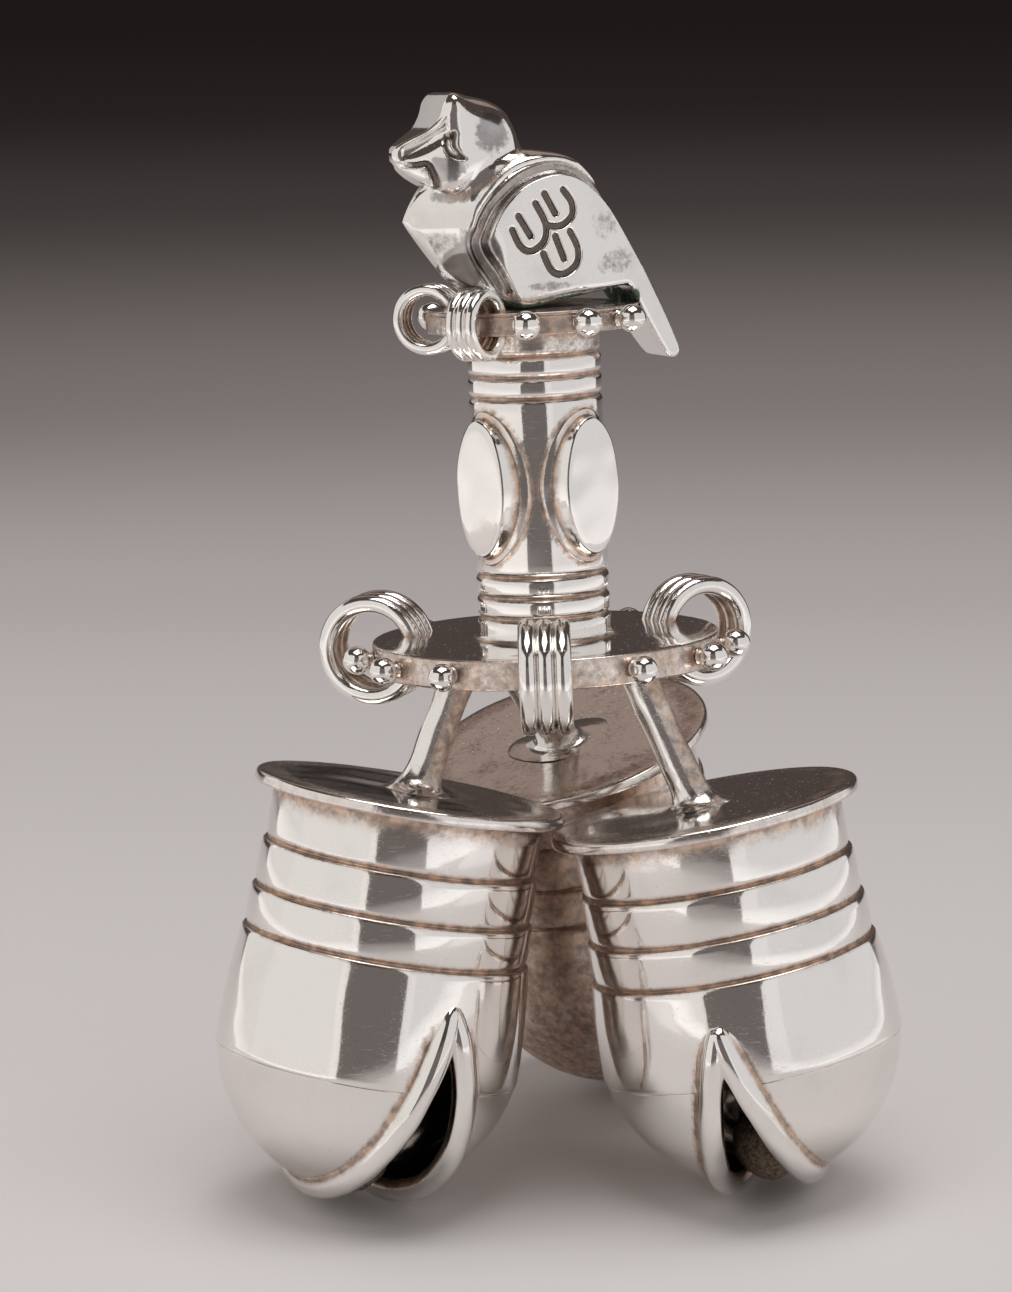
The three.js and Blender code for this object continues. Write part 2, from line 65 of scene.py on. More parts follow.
LIP_RADIUS, PELLET_RADIUS = 1.35, 4.3
STRUT_RADIUS, STRUT_TOP_AT, STRUT_FOOT_AT = 1.95, 11.2, 0.8

# A bell leans out by its splay, toward one azimuth; its slot is turned from another. High is the
# slot's higher end, rest the pellet's height, pool the solder at the strut's foot. Shade is how
# much darker and browner the bell gets towards the rattle's middle, how far from the middle that
# holds, and how wide it fades
BELLS = {
    "rear": dict(
        azimuth=88, splay=16, toward=40, stretch=0, slot=140, high=4.2, rest=-12.664,
        at=(6.5685, 19.1815, 18.3234),
        strut=117, pool=1, shade=(0.75, 19, 9), lid_shade=0.45, seed=4),
    "front_left": dict(
        azimuth=210, splay=13, toward=217, stretch=1, slot=2, high=6.8, rest=-12.785,
        at=(-21.0772, -19.0587, 18.322),
        strut=210, pool=0.5, shade=(0.72, 11, 7), lid_shade=0, seed=10),
    "front_right": dict(
        azimuth=330, splay=12, toward=334, stretch=-1.2, slot=198, high=3.6, rest=-12.668,
        at=(21.0822, -17.6085, 18.3062),
        strut=330, pool=0.5, shade=(0.72, 11, 7), lid_shade=0, seed=11),
}


# Places

def turn(axis, angle):
    """The matrix of a turn about an axis through the origin"""
    return np.array(Matrix.Rotation(math.radians(angle), 4, axis))


def shift(x, y, z):
    """The matrix of a shift"""
    matrix = np.eye(4)
    matrix[:3, 3] = (x, y, z)
    return matrix


def moved(matrix, points):
    """Points turned, then shifted, by a matrix"""
    return np.asarray(points) @ matrix[:3, :3].T + matrix[:3, 3]


HANDLE = (shift(CENTRE[0] + HANDLE_ASIDE, CENTRE[1], HANDLE_HEIGHT)
          @ turn("X", LEAN_BACK) @ turn("Y", LEAN_LEFT))
BIRD = HANDLE @ shift(0, 0, BIRD_FOOT) @ turn("Z", BIRD_AZIMUTH)
for bell in BELLS.values():
    bell["place"] = (shift(*bell["at"]) @ turn("Z", bell["toward"]) @ turn("Y", -bell["splay"])
                     @ turn("Z", bell["slot"] + bell["azimuth"] - bell["toward"]))
    bell["top"] = sum(BAND_HEIGHTS) + LOWER_SLEEVE + bell["stretch"]
    bell["lid"] = bell["top"] + GAP + LID_THICK


# Shapes in numpy

def lengths(vectors):
    """Each row's length, as a column"""
    return norm(vectors, axis=1, keepdims=True)


def circle(sides):
    """Angles once round, evenly spaced, without the last"""
    return np.linspace(0, FULL_TURN, sides, endpoint=False)


def points_of(x, y, z):
    """Points from arrays of coordinates; one that all points share may be a number"""
    return np.stack(np.broadcast_arrays(x, y, z), -1).reshape(-1, 3)


def smooth(t):
    """3t² - 2t³, 0 below 0 and 1 above 1"""
    t = np.clip(t, 0, 1)
    return t * t * (3 - 2 * t)


def within(distance, half, edge):
    """1 up to half, 0 beyond half + edge, a smooth step between"""
    return smooth((half + edge - distance) / edge)


def waves(points, length, seed, count=9):
    """Smooth unevenness between about -1 and 1: the sum of sine waves about that long, of random
    direction, length and phase"""
    rng = np.random.default_rng(seed)
    total = np.zeros(len(points))
    for _ in range(count):
        way = rng.normal(size=3)
        way *= FULL_TURN / (length * rng.uniform(0.7, 1.6) * norm(way))
        total += np.sin(points @ way + rng.uniform(0, 6.3))
    return total / count ** 0.5 / 1.4


def normals(verts, faces):
    """The way out at each point: the cross products of its faces' diagonals added, at length 1"""
    a, b, c, d = (verts[faces[:, i]] for i in range(4))
    across = np.cross(c - a, d - b)
    total = np.zeros_like(verts)
    for i in range(4):
        np.add.at(total, faces[:, i], across)
    return total / np.maximum(lengths(total), 1e-12)


def uneven(shape, amount, length, seed):
    """Each point moved along its normal, by amount times the waves"""
    verts, faces = shape
    return verts + normals(verts, faces) * (amount * waves(verts, length, seed))[:, None], faces


def rounded(corners, steps=5, longest=0.9):
    """A profile from (radius, height, rounding) corners. A rounded one is the curve
    (1 - t)² start + 2t(1 - t) corner + t² end between points that far along its two sides, less
    than halfway; stretches over the longest are cut into equal steps"""
    points = [np.array(c[:2], float) for c in corners]
    bent = [points[0]]
    for i in range(1, len(points) - 1):
        p, rounding = points[i], corners[i][2]
        if rounding <= 0:
            bent.append(p)
            continue
        start, end = (p + side / norm(side) * min(rounding, norm(side) * 0.49)
                      for side in (points[i - 1] - p, points[i + 1] - p))
        for t in np.linspace(0, 1, steps):
            bent.append((1 - t) ** 2 * start + 2 * t * (1 - t) * p + t * t * end)
    bent.append(points[-1])
    full = [bent[0]]
    for p in bent[1:]:
        n = max(1, int(math.ceil(norm(p - full[-1]) / longest)))
        full += [full[-1] + (p - full[-1]) * k / n for k in range(1, n + 1)]
    return np.array(full)


def grid_faces(rows, columns, wrap_rows=False):
    """Quads between neighbours in a grid of points whose columns close into a ring"""
    r, c = np.divmod(np.arange((rows if wrap_rows else rows - 1) * columns), columns)
    r2, c2 = (r + 1) % rows, (c + 1) % columns
    return np.stack([r * columns + c, r * columns + c2, r2 * columns + c2, r2 * columns + c], 1)


def lathe(profile, sides, pole=1e-3):
    """A profile of radius and height turned about Z: x = r cos a, y = r sin a, with r never less
    than the pole's"""
    a = circle(sides)
    r, z = np.maximum(profile[:, :1], pole), profile[:, 1:2]
    return points_of(r * np.cos(a), r * np.sin(a), z), grid_faces(len(profile), sides)


def closed_bar(path, radius, sides, side, flat):
    """A bar along a closed path: round each point an oval across the path, radius times
    flat[0] cos a to its side and flat[1] sin a up; the side is carried on from point to point"""
    ahead = np.roll(path, -1, 0) - np.roll(path, 1, 0)
    ahead /= lengths(ahead)
    ways, ups = [], []
    for forward in ahead:
        side = side - forward * (side @ forward)
        side /= norm(side)
        ways.append(side)
        ups.append(np.cross(forward, side))
    a = circle(sides)
    verts = path[:, None] + radius * (flat[0] * np.cos(a)[None, :, None] * np.array(ways)[:, None]
                                      + flat[1] * np.sin(a)[None, :, None] * np.array(ups)[:, None])
    return verts.reshape(-1, 3), grid_faces(len(path), sides, wrap_rows=True)


def joined(*parts):
    """One mesh of several, each one's faces counted on from the last"""
    verts, faces, count = [], [], 0
    for v, f in parts:
        verts.append(v)
        faces.append(f + count)
        count += len(v)
    return np.vstack(verts), np.vstack(faces)


# Pieces and their tarnish; the same values also carry painted shade and a painted dark reflection

seams = {}
pieces = []


def seam(points, reach):
    """Where tarnish gathers: along these points, as far as reach"""
    seams.setdefault(reach, []).extend(tuple(p) for p in points)


def ring(radius, height, place, spacing=0.2):
    """Evenly spaced points on a circle about a piece's Z axis"""
    a = circle(int(FULL_TURN * radius / spacing))
    return moved(place, points_of(radius * np.cos(a), radius * np.sin(a), height))


def add_object(name, data):
    """An object in the scene, at the origin"""
    obj = bpy.data.objects.new(name, data)
    bpy.context.scene.collection.objects.link(obj)
    return obj


def piece(name, shape, look, place, nodes=None, body="rattle", slot="polished_silver",
          dirt_and_painted_shade=0.0, film_and_painted_reflection=0.0, verdigris=0.0):
    """A mesh in its place, on its body, instead of its CAD nodes, which may be the one of its
    name; its dirt is its own tarnish, and on the struts painted shade; its film, on the lid tops,
    is a painted dark reflection"""
    verts, faces = shape
    verts = moved(place, verts)
    mesh = bpy.data.meshes.new(name + "_looks")
    mesh.from_pydata((verts * MM).tolist(), [], faces.tolist())
    mesh.validate()
    mesh.polygons.foreach_set("use_smooth", [True] * len(mesh.polygons))
    mesh.materials.append(look)
    obj = add_object(name + "_looks", mesh)
    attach(obj, body)
    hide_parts(*(nodes or [name]))
    pieces.append((obj, verts, dirt_and_painted_shade, film_and_painted_reflection, verdigris))


def write_tarnish_and_painted_shade():
    """Writes each piece's attributes. Tarnish is the larger of its own dirt and of
    e^-(distance / reach)^1.6 from every seam, and with the dirt it carries the struts' painted
    shade; film and verdigris are its own, and film carries the lid tops' painted dark reflection"""
    trees = []
    for reach, points in seams.items():
        tree = KDTree(len(points))
        for i, p in enumerate(points):
            tree.insert(p, i)
        tree.balance()
        trees.append((tree, reach))
    for obj, verts, dirt_and_painted_shade, film_and_painted_reflection, verdigris in pieces:
        tarnish_and_painted_shade = np.maximum(np.zeros(len(verts)), dirt_and_painted_shade)
        for tree, reach in trees:
            away = np.array([tree.find(v)[2] for v in verts])
            tarnish_and_painted_shade = np.maximum(tarnish_and_painted_shade, np.exp(-(away / reach) ** 1.6))
        for name, value in (("tarnish_and_painted_shade", tarnish_and_painted_shade), ("film_and_painted_reflection", film_and_painted_reflection), ("verdigris", verdigris)):
            values = np.clip(np.broadcast_to(value, len(verts)), 0, 1).astype(np.float32)
            obj.data.attributes.new(name, "FLOAT", "POINT").data.foreach_set("value", values)


# Shader nodes

def made(tree, kind, output, inputs, **settings):
    """One output of a new node, as a value; inputs are linked to values or set to numbers"""
    node = tree.nodes.new("ShaderNode" + kind)
    for name, value in settings.items():
        setattr(node, name, value)
    for key, value in inputs.items():
        if isinstance(value, Sock):
            tree.links.new(value.out, node.inputs[key])
        else:
            node.inputs[key].default_value = value
    return Sock(tree, node.outputs[output])


class Sock:
    """A value in a shader; + - * between values or with numbers add Math nodes"""

    def __init__(self, tree, out):
        self.tree, self.out = tree, out

    def math(self, operation, other, clamp=False):
        """This value and the other in a Math node"""
        return made(self.tree, "Math", 0, {0: self, 1: other}, operation=operation,
                    use_clamp=clamp)

    def __add__(self, other): return self.math("ADD", other)
    def __sub__(self, other): return self.math("SUBTRACT", other)
    def __mul__(self, other): return self.math("MULTIPLY", other)
    def clamped(self): return self.math("ADD", 0.0, clamp=True)

    def between(self, low, high, out_low=0.0, out_high=1.0):
        """A smooth step: out_low up to low, out_high from high on, 3t² - 2t³ between"""
        return made(self.tree, "MapRange", "Result", {
            "Value": self, "From Min": low, "From Max": high,
            "To Min": out_low, "To Max": out_high}, interpolation_type="SMOOTHSTEP")

    def mix(self, first, second):
        """The first colour where this value is 0, the second where it is 1, shares between"""
        first, second = (c if isinstance(c, Sock) else (*c, 1) for c in (first, second))
        return made(self.tree, "Mix", 2, {0: self, 6: first, 7: second}, data_type="RGBA")


class Look:
    """A material under construction, on Object coordinates"""

    def __init__(self, name, **fixed):
        self.material = bpy.data.materials.new(name)
        self.material.use_nodes = True
        self.tree = self.material.node_tree
        self.shader = self.tree.nodes["Principled BSDF"]
        for key, value in fixed.items():
            self.shader.inputs[key].default_value = value
        self.place = made(self.tree, "TexCoord", "Object", {})

    def attribute(self, name):
        """The mesh's own value at each point"""
        return made(self.tree, "Attribute", "Fac", {}, attribute_name=name)

    def noise(self, size, detail=3.0, stretch=(1, 1, 1), angle=(0, 0, 0), rough=0.5):
        """Noise with spots about that many millimetres wide, stretched along the turned axes"""
        place = made(self.tree, "Mapping", 0, {
            "Vector": self.place, "Rotation": [math.radians(a) for a in angle],
            "Scale": [1 / (s * size * MM) for s in stretch]})
        return made(self.tree, "TexNoise", "Fac", {
            "Vector": place, "Scale": 1.0, "Detail": detail, "Roughness": rough})

    def set(self, name, value):
        """A varying value into one of the shader's sockets"""
        self.tree.links.new(value.out, self.shader.inputs[name])

    def bump(self, height, depth):
        """Bumps as deep as height times depth in millimetres"""
        self.set("Normal", made(self.tree, "Bump", 0, {"Height": height, "Distance": depth * MM}))


# Finishes: where two tones are given, noise mixes them

CLEAN_SILVER, HAZY_SILVER = (0.9, 0.872, 0.84), (0.66, 0.63, 0.6)
# The film tones are also the painted dark reflection on the lid tops
FILM_AND_PAINTED_REFLECTION_TONES = (0.25, 0.225, 0.21), (0.44, 0.43, 0.43)
# The tarnish tones are also the painted shade on the struts' +X side
TARNISH_AND_PAINTED_SHADE_TONES = (0.7, 0.5, 0.375), (0.32, 0.235, 0.185)
ENGRAVED = (0.075, 0.055, 0.045)
VERDIGRIS_TONES = (0.035, 0.06, 0.04), (0.12, 0.2, 0.13)
PELLET_TONES = (0.11, 0.075, 0.05), (0.42, 0.33, 0.24)


def silver(name, rough=0.07, dull=0.3, spread=0.0, scratches=0.006, dust=0.12):
    """Polished silver, one layer mixed over the other: haze, films, tarnish, engraving, verdigris.
    The tarnish layer also lays painted shade on the struts, and the film layer a painted dark
    reflection on the lid tops. Tarnish and films are the mesh's values with noise, cut by a smooth
    step, so that their edges break up. Stretched noise in two directions scratches it, and specks
    of dust dull the metal"""
    look = Look(name)
    tarnish_and_painted_shade, film_and_painted_reflection, verdigris = (look.attribute(n) for n in ("tarnish_and_painted_shade", "film_and_painted_reflection", "verdigris"))
    blots = look.noise(3.4, 5, rough=0.6)
    fine = look.noise(0.6, 4, rough=0.65)
    broken = tarnish_and_painted_shade * (blots * 1.2 + fine * 0.9 + (spread - 0.15))
    dirt_and_painted_shade = (broken + blots.between(0.56, 0.8) * spread).between(0.15, 0.75)
    haze = look.noise(8, 5, rough=0.6).between(0.48, 0.8) * dull
    colour = haze.mix(CLEAN_SILVER, HAZY_SILVER)
    # Film patches; on the lid tops they are a painted dark reflection
    film_patches_and_painted_reflection = ((film_and_painted_reflection + (blots + fine * 1.1 - 1.05) * 0.9).between(0.3, 0.66)
               * film_and_painted_reflection.between(0.02, 0.15))
    colour = (film_patches_and_painted_reflection * 0.85).mix(colour, blots.between(0.3, 0.7).mix(*FILM_AND_PAINTED_REFLECTION_TONES))
    tone = look.noise(1.3, 4, rough=0.6).between(0.35, 0.65).mix(*TARNISH_AND_PAINTED_SHADE_TONES)
    colour = (dirt_and_painted_shade * 0.9).mix(colour, tone)
    colour = (film_and_painted_reflection.between(0.86, 0.99) * 0.8).mix(colour, ENGRAVED)
    crust = (verdigris * (look.noise(0.8, 4, rough=0.6) * 1.6)).between(0.35, 0.7)
    green = look.noise(0.5, 2).between(0.35, 0.65).mix(*VERDIGRIS_TONES)
    look.set("Base Color", crust.mix(colour, green))
    specks = look.noise(0.33, 1).between(0.715, 0.745) * dust
    look.set("Metallic", (specks * -1.0 - crust * 0.8 + 1.0).clamped())
    lines = look.noise(0.16, 2, stretch=(1, 16, 1), angle=(20, 35, 10)).between(0.64, 0.76)
    cross = look.noise(0.14, 2, stretch=(18, 1, 1), angle=(-15, 10, 50)).between(0.64, 0.75)
    look.set("Roughness", ((lines + cross) * 0.04 + haze * 0.1 + film_patches_and_painted_reflection * 0.08
                           + dirt_and_painted_shade * 0.3 + crust * 0.4 + rough).clamped())
    look.bump(lines * -0.35 + cross * -0.35 + blots * 1.6 + dirt_and_painted_shade * fine * 5.0, scratches)
    return look.material


mirror = silver("silver_mirror")
dusty = silver("silver_dusty", dust=1.0)
worked = silver("silver_worked", rough=0.09, dull=0.45, spread=0.1, scratches=0.012)
figure = silver("silver_figure", rough=0.085, dull=0.5, spread=0.06, scratches=0.01)
soldered = silver("silver_soldered", rough=0.15, dull=0.4, spread=0.06, scratches=0.02)

stone = Look("pellet_rough", Metallic=0.15)
grain = stone.noise(0.5, 6, rough=0.7)
stone.set("Base Color", grain.between(0.35, 0.65).mix(*PELLET_TONES))
stone.set("Roughness", grain.between(0.3, 0.7, 0.6, 0.95))
stone.bump(grain, 0.25)


# Disks

def disk(radius, thickness, rim, line=None):
    """A disk turned from its profile, its rim rounded by so much; a line, if any, is cut round
    its edge that far below the top"""
    corners = [(0, 0, 0), (radius, 0, rim)]
    if line:
        height, half, depth = thickness - line, 0.12, 0.14
        corners += [(radius, height - half, 0.05), (radius - depth, height, 0.04),
                    (radius, height + half, 0.05)]
    corners += [(radius, thickness, rim), (0, thickness, 0)]
    return lathe(rounded(corners), 144)


def rim_share(verts, radius):
    """1 on a disk's edge, 0 on its faces, by the distance from Z"""
    return within(radius - np.hypot(verts[:, 0], verts[:, 1]), 0.08, 0.5)


verts, faces = disk(*LOWER_DISK, 0.35)
edge = rim_share(verts, LOWER_DISK[0])
piece("lower_disk", uneven((verts, faces), 0.035, 9, 1), dusty, HANDLE,
      dirt_and_painted_shade=0.6 * edge, film_and_painted_reflection=0.25 * edge)
verts, faces = disk(*UPPER_DISK, 0.3, line=0.45)
edge = rim_share(verts, UPPER_DISK[0])
on_top = within(-verts[:, 2], -UPPER_DISK[1] + 0.1, 0.3)
piece("upper_disk", uneven((verts, faces), 0.03, 6, 2), worked, HANDLE @ shift(0, 0, UPPER_FOOT),
      dirt_and_painted_shade=0.15 + 0.35 * edge, film_and_painted_reflection=0.65 * edge, verdigris=0.5 * (1 - edge) * on_top)


# Tube and bosses

GROOVE_STEP, GROOVE_DEPTH, GROOVE_HALF = 2.35, 0.42, 0.5


def tube():
    """The tube turned from its profile: three grooves at each end leave three rounded bands, and
    a small flare of solder meets each disk"""
    low = [GROOVE_STEP * k for k in (1, 2, 3)]
    corners = [(TUBE_RADIUS + 0.45, -GAP - 0.05, 0), (TUBE_RADIUS + 0.03, 0.2, 0.4)]
    for z in low + [TUBE_LENGTH - z for z in reversed(low)]:
        corners += [(TUBE_RADIUS, z - GROOVE_HALF, 0.25), (TUBE_RADIUS - GROOVE_DEPTH, z, 0.12),
                    (TUBE_RADIUS, z + GROOVE_HALF, 0.25)]
        seam(ring(TUBE_RADIUS - 0.3, TUBE_FOOT + z, HANDLE), 0.48)
    corners += [(TUBE_RADIUS, TUBE_LENGTH - 0.1, 0.2),
                (TUBE_RADIUS + 0.2, TUBE_LENGTH + GAP + 0.05, 0)]
    return lathe(rounded(corners, longest=0.7), 128)


seam(ring(TUBE_RADIUS + 0.6, LOWER_DISK[1], HANDLE), 0.7)
seam(ring(TUBE_RADIUS + 0.4, UPPER_FOOT, HANDLE), 1.1)
verts, faces = uneven(tube(), 0.035, 7, 3)
# Darker film and brown tone over the tube's top 2 to 3 mm, under the upper disk
near_upper_disk = within(TUBE_LENGTH - verts[:, 2], 2.0, 0.9)
piece("handle_tube", (verts, faces), mirror, HANDLE @ shift(0, 0, TUBE_FOOT),
      dirt_and_painted_shade=0.45 * near_upper_disk, film_and_painted_reflection=0.5 * near_upper_disk)

BOSS_EDGE, BOSS_SIDES = 0.55, 96
# Solder round a boss: how far each row lies outside the oval, sideways and upwards, and its height
# over the tube
BOSS_SOLDER = ((0.02, 0.02, 0.5), (0.07, 0.07, 0.3), (0.3, 0.3, 0.24),
               (0.75, 0.7, 0.2), (0.95, 0.88, 0.12), (1.02, 0.95, -0.08))


def boss():
    """Rows of ovals, y = w cos a and z = h sin a: over the faintly crowned face, down its rounded
    edge, then out over the solder, where x is the root of tube radius² - y², plus a height"""
    a = circle(BOSS_SIDES)
    wide, tall, top = BOSS_WIDE - BOSS_EDGE, BOSS_TALL - BOSS_EDGE, TUBE_RADIUS + BOSS_RISE
    rows = [(wide * share, tall * share, top + 0.1 * (1 - share ** 2))
            for share in np.linspace(0.001, 1, 9)]
    for angle in np.radians([25, 50, 75, 90]):
        out, down = BOSS_EDGE * math.sin(angle), BOSS_EDGE * (1 - math.cos(angle))
        rows.append((wide + out, tall + out, top - down))
    verts = [points_of(x, w * np.cos(a), h * np.sin(a)) for w, h, x in rows]
    for out, out_up, above in BOSS_SOLDER:
        y = (BOSS_WIDE + out) * np.cos(a)
        verts.append(points_of(np.sqrt(TUBE_RADIUS ** 2 - y ** 2) + above, y,
                               (BOSS_TALL + out_up) * np.sin(a)))
    return np.vstack(verts), grid_faces(len(verts), BOSS_SIDES)


for at, azimuth in enumerate((315, 220, 87), 1):
    place = HANDLE @ shift(0, 0, TUBE_FOOT + TUBE_LENGTH / 2) @ turn("Z", azimuth)
    verts, faces = uneven(boss(), 0.04, 5, 20 + at)
    seam(moved(place, verts[-BOSS_SIDES:]), 0.4)
    seam(moved(place, verts[-5 * BOSS_SIDES:-4 * BOSS_SIDES]), 0.35)
    piece(f"boss_{at}", (verts, faces), mirror, place)


# Loops and balls on the rims

def loop(ring_radius, wire, reach_out, seed):
    """Three rings of wire side by side, x = reach_out + R cos a and z = R sin a, each R a little
    uneven"""
    a = circle(120)
    wires = []
    for at in (-1, 0, 1):
        slack = 1 + 0.012 * np.sin(a + seed + at)
        path = points_of(reach_out + ring_radius * slack * np.cos(a), at * 1.96 * wire,
                         ring_radius * slack * np.sin(a))
        wires.append(closed_bar(path, wire, 28, np.array([0.0, 1, 0]), (1.03, 1.06)))
    return joined(*wires)


def ball(radius, seed):
    """A ball turned from radius sin t and radius cos t, with a short neck of solder to the rim"""
    angles = np.linspace(math.pi - 0.42, 0, 22)
    profile = [[0.95, -radius - 0.2], [0.8, -radius + 0.02]]
    profile += [[radius * math.sin(t), radius * math.cos(t)] for t in angles]
    verts, faces = uneven(lathe(np.array(profile), 40), 0.045, 3, seed)
    return moved(shift(radius + GAP, 0, 0) @ turn("Y", 90), verts), faces


def loop_line(reach_out, radius, y):
    """Points on a circle in a loop's plane: x = reach_out + radius cos a, z = radius sin a"""
    a = np.linspace(0, FULL_TURN, 160)
    return points_of(reach_out + radius * np.cos(a), y, radius * np.sin(a))


def dress_rim(disk_radius, thickness, foot, loops, balls, stand_off, ring_radius, wire,
              groove_reach):
    """Loops and balls on a disk's rim, each turned to its azimuth; tarnish gathers where they
    meet the disk and between the wires"""
    level = HANDLE @ shift(0, 0, foot + thickness / 2)
    reach_out = disk_radius + stand_off
    inward = math.sqrt(ring_radius ** 2 - (thickness / 2) ** 2)
    for seed, (name, azimuth) in enumerate(loops.items()):
        place = level @ turn("Z", azimuth)
        for side in (-1, 1):
            seam(moved(place, [(reach_out - inward, y, side * thickness / 2)
                               for y in np.linspace(-3, 3, 25) * wire]), 0.8)
        for y in (-0.98 * wire, 0.98 * wire):
            seam(moved(place, loop_line(reach_out, ring_radius, y)), groove_reach)
            seam(moved(place, loop_line(reach_out, ring_radius - wire, y)), 0.95 * wire)
        piece(name, loop(ring_radius, wire, reach_out, seed), worked, place, dirt_and_painted_shade=0.1)
    for seed, (name, azimuth) in enumerate(balls.items()):
        place = level @ turn("Z", azimuth)
        seam(moved(place, [(disk_radius + 0.1, 0, 0)]), 1.4)
        verts, faces = ball(BALL_RADIUS * (1 + 0.05 * math.sin(7 * seed + 1)), 40 + seed)
        piece(name, (moved(shift(disk_radius, 0, 0), verts), faces), mirror, place)


lower_loops = {f"lower_loop_{k}": azimuth for k, azimuth in enumerate((31, 162, 270), 1)}
lower_balls = {f"lower_ball_{k}": azimuth
               for k, azimuth in enumerate((63, 96, 131, 188, 213, 238, 300, 330, 357), 1)}
dress_rim(*LOWER_DISK, 0, lower_loops, lower_balls, **LOWER_LOOPS)
upper_loops = {"upper_loop_left": 163, "upper_loop_right": 240}
upper_balls = {f"upper_ball_{name}_{k}": BIRD_AZIMUTH + side * spread
               for name, side, spreads in (("left", -1, (56, 86, 116)), ("right", 1, (66, 95, 122)))
               for k, spread in enumerate(spreads, 1)}
dress_rim(*UPPER_DISK, UPPER_FOOT, upper_loops, upper_balls, **UPPER_LOOPS)


# Bells: cup's centre at the origin, +Z to the lid

def slot_frame(bell):
    """How far the slot's line pitches, the arc sine of its rise over the cup's width, and its
    height over the cup's centre halfway"""
    return (math.asin((bell["high"] - SLOT_LOW) / (2 * CUP_RADIUS)),
            (bell["high"] + SLOT_LOW) / 2)


def lip_lines(bell, steps=96):
    """The slot's two edges. Two planes lean apart by the slot's angle from a line across the cup,
    and each cuts the cup's sphere in a circle; the lip follows it from one end to the other"""
    pitch, line_height = slot_frame(bell)
    lean = math.radians(SLOT_ANGLE)
    offset = line_height * math.sin(lean)
    radius = math.sqrt((CUP_RADIUS + 0.1) ** 2 - offset ** 2)
    end = math.asin(line_height * math.cos(lean) / radius)
    angles = np.linspace(-end, math.pi + end, steps)[:, None]
    lines = []
    for side in (-1, 1):
        centre = np.array([side * offset * math.cos(lean), 0, offset * math.sin(lean)])
        down = np.array([side * math.sin(lean), 0, -math.cos(lean)])
        line = centre + radius * (np.cos(angles) * np.array([0, 1, 0]) + np.sin(angles) * down)
        lines.append(moved(turn("X", math.degrees(pitch)), line))
    return lines


def slotted(shape, bell):
    """The shape without the faces in the slot, which widens below its line by the tangent of its
    angle; the lips cover the edge"""
    pitch, line_height = slot_frame(bell)
    verts, faces = shape
    level = moved(turn("X", -math.degrees(pitch)), verts)
    depth = line_height - level[:, 2]
    inside = (depth > 0) & (np.abs(level[:, 0]) < depth * math.tan(math.radians(SLOT_ANGLE)))
    return verts, faces[~inside[faces].any(axis=1)]


def sleeve(bell):
    """Turned from its profile: three bands, each stepped out below the last with a rounded
    shoulder, a drawn lower part, and the inner wall"""
    height, radius = bell["top"], SLEEVE_TOP_RADIUS
    corners = [(radius + 0.4, height + GAP + 0.05, 0), (radius, height - 0.3, 0.35)]
    for band in BAND_HEIGHTS:
        foot = height - band
        corners += [(radius + 0.07, (height + foot) / 2, 1.5), (radius - 0.02, foot + 0.62, 0.3),
                    (radius - 0.26, foot + 0.22, 0.14)]
        seam(ring(radius - 0.1, foot + 0.24, bell["place"]), 0.56)
        radius += BAND_STEP
        corners += [(radius - 0.16, foot + 0.04, 0.16), (radius, foot - 0.42, 0.34)]
        height = foot
    inset = -SEAM + 0.02
    corners += [((radius + CUP_RADIUS) / 2 + 0.15, height / 2, 3.4), (CUP_RADIUS, -0.1, 1.6),
                (CUP_RADIUS, -SEAM + 0.3, 0), (CUP_RADIUS - 0.02, -SEAM + 0.16, 0),
                (CUP_RADIUS - 0.13, inset, 0), (CUP_RADIUS - 0.5, inset, 0)]
    inner = [(CUP_RADIUS - WALL, inset, 0), (CUP_RADIUS - WALL, 0, 2),
             (radius - WALL, height, 3), (SLEEVE_TOP_RADIUS - WALL, bell["top"], 0)]
    return lathe(np.vstack([rounded(corners), rounded(inner, longest=2)]), 168)


def cup():
    """The lower part of a sphere and its inner wall: radius cos t and -radius sin t, from just
    under the seam to the bottom"""
    start = math.asin(SEAM / CUP_RADIUS)
    down = np.concatenate([[start, start + 0.004], np.linspace(start + 0.01, math.pi / 2, 44)])
    outer, inner = (np.stack([radius * np.cos(down), -radius * np.sin(down)], 1)
                    for radius in (CUP_RADIUS, CUP_RADIUS - WALL))
    return lathe(np.vstack([inner[::-1], [[CUP_RADIUS - 0.5, -SEAM]], outer]), 176)


# A lip's foot on the shell's side, as distance across and height over the shell
LIP_SOLDER = [(2.0, -0.32), (1.86, -0.1), (1.62, 0.0), (1.42, 0.16)]
# The lip's three last steps at each end: how far on, and how far sunk
TIP_ON, TIP_SUNK = np.array([[0.4], [0.8], [1.1]]), np.array([0.12, 0.42, 0.9])


def outwards(line):
    """The way out of the cup at each point of a line on it"""
    return line / lengths(line)


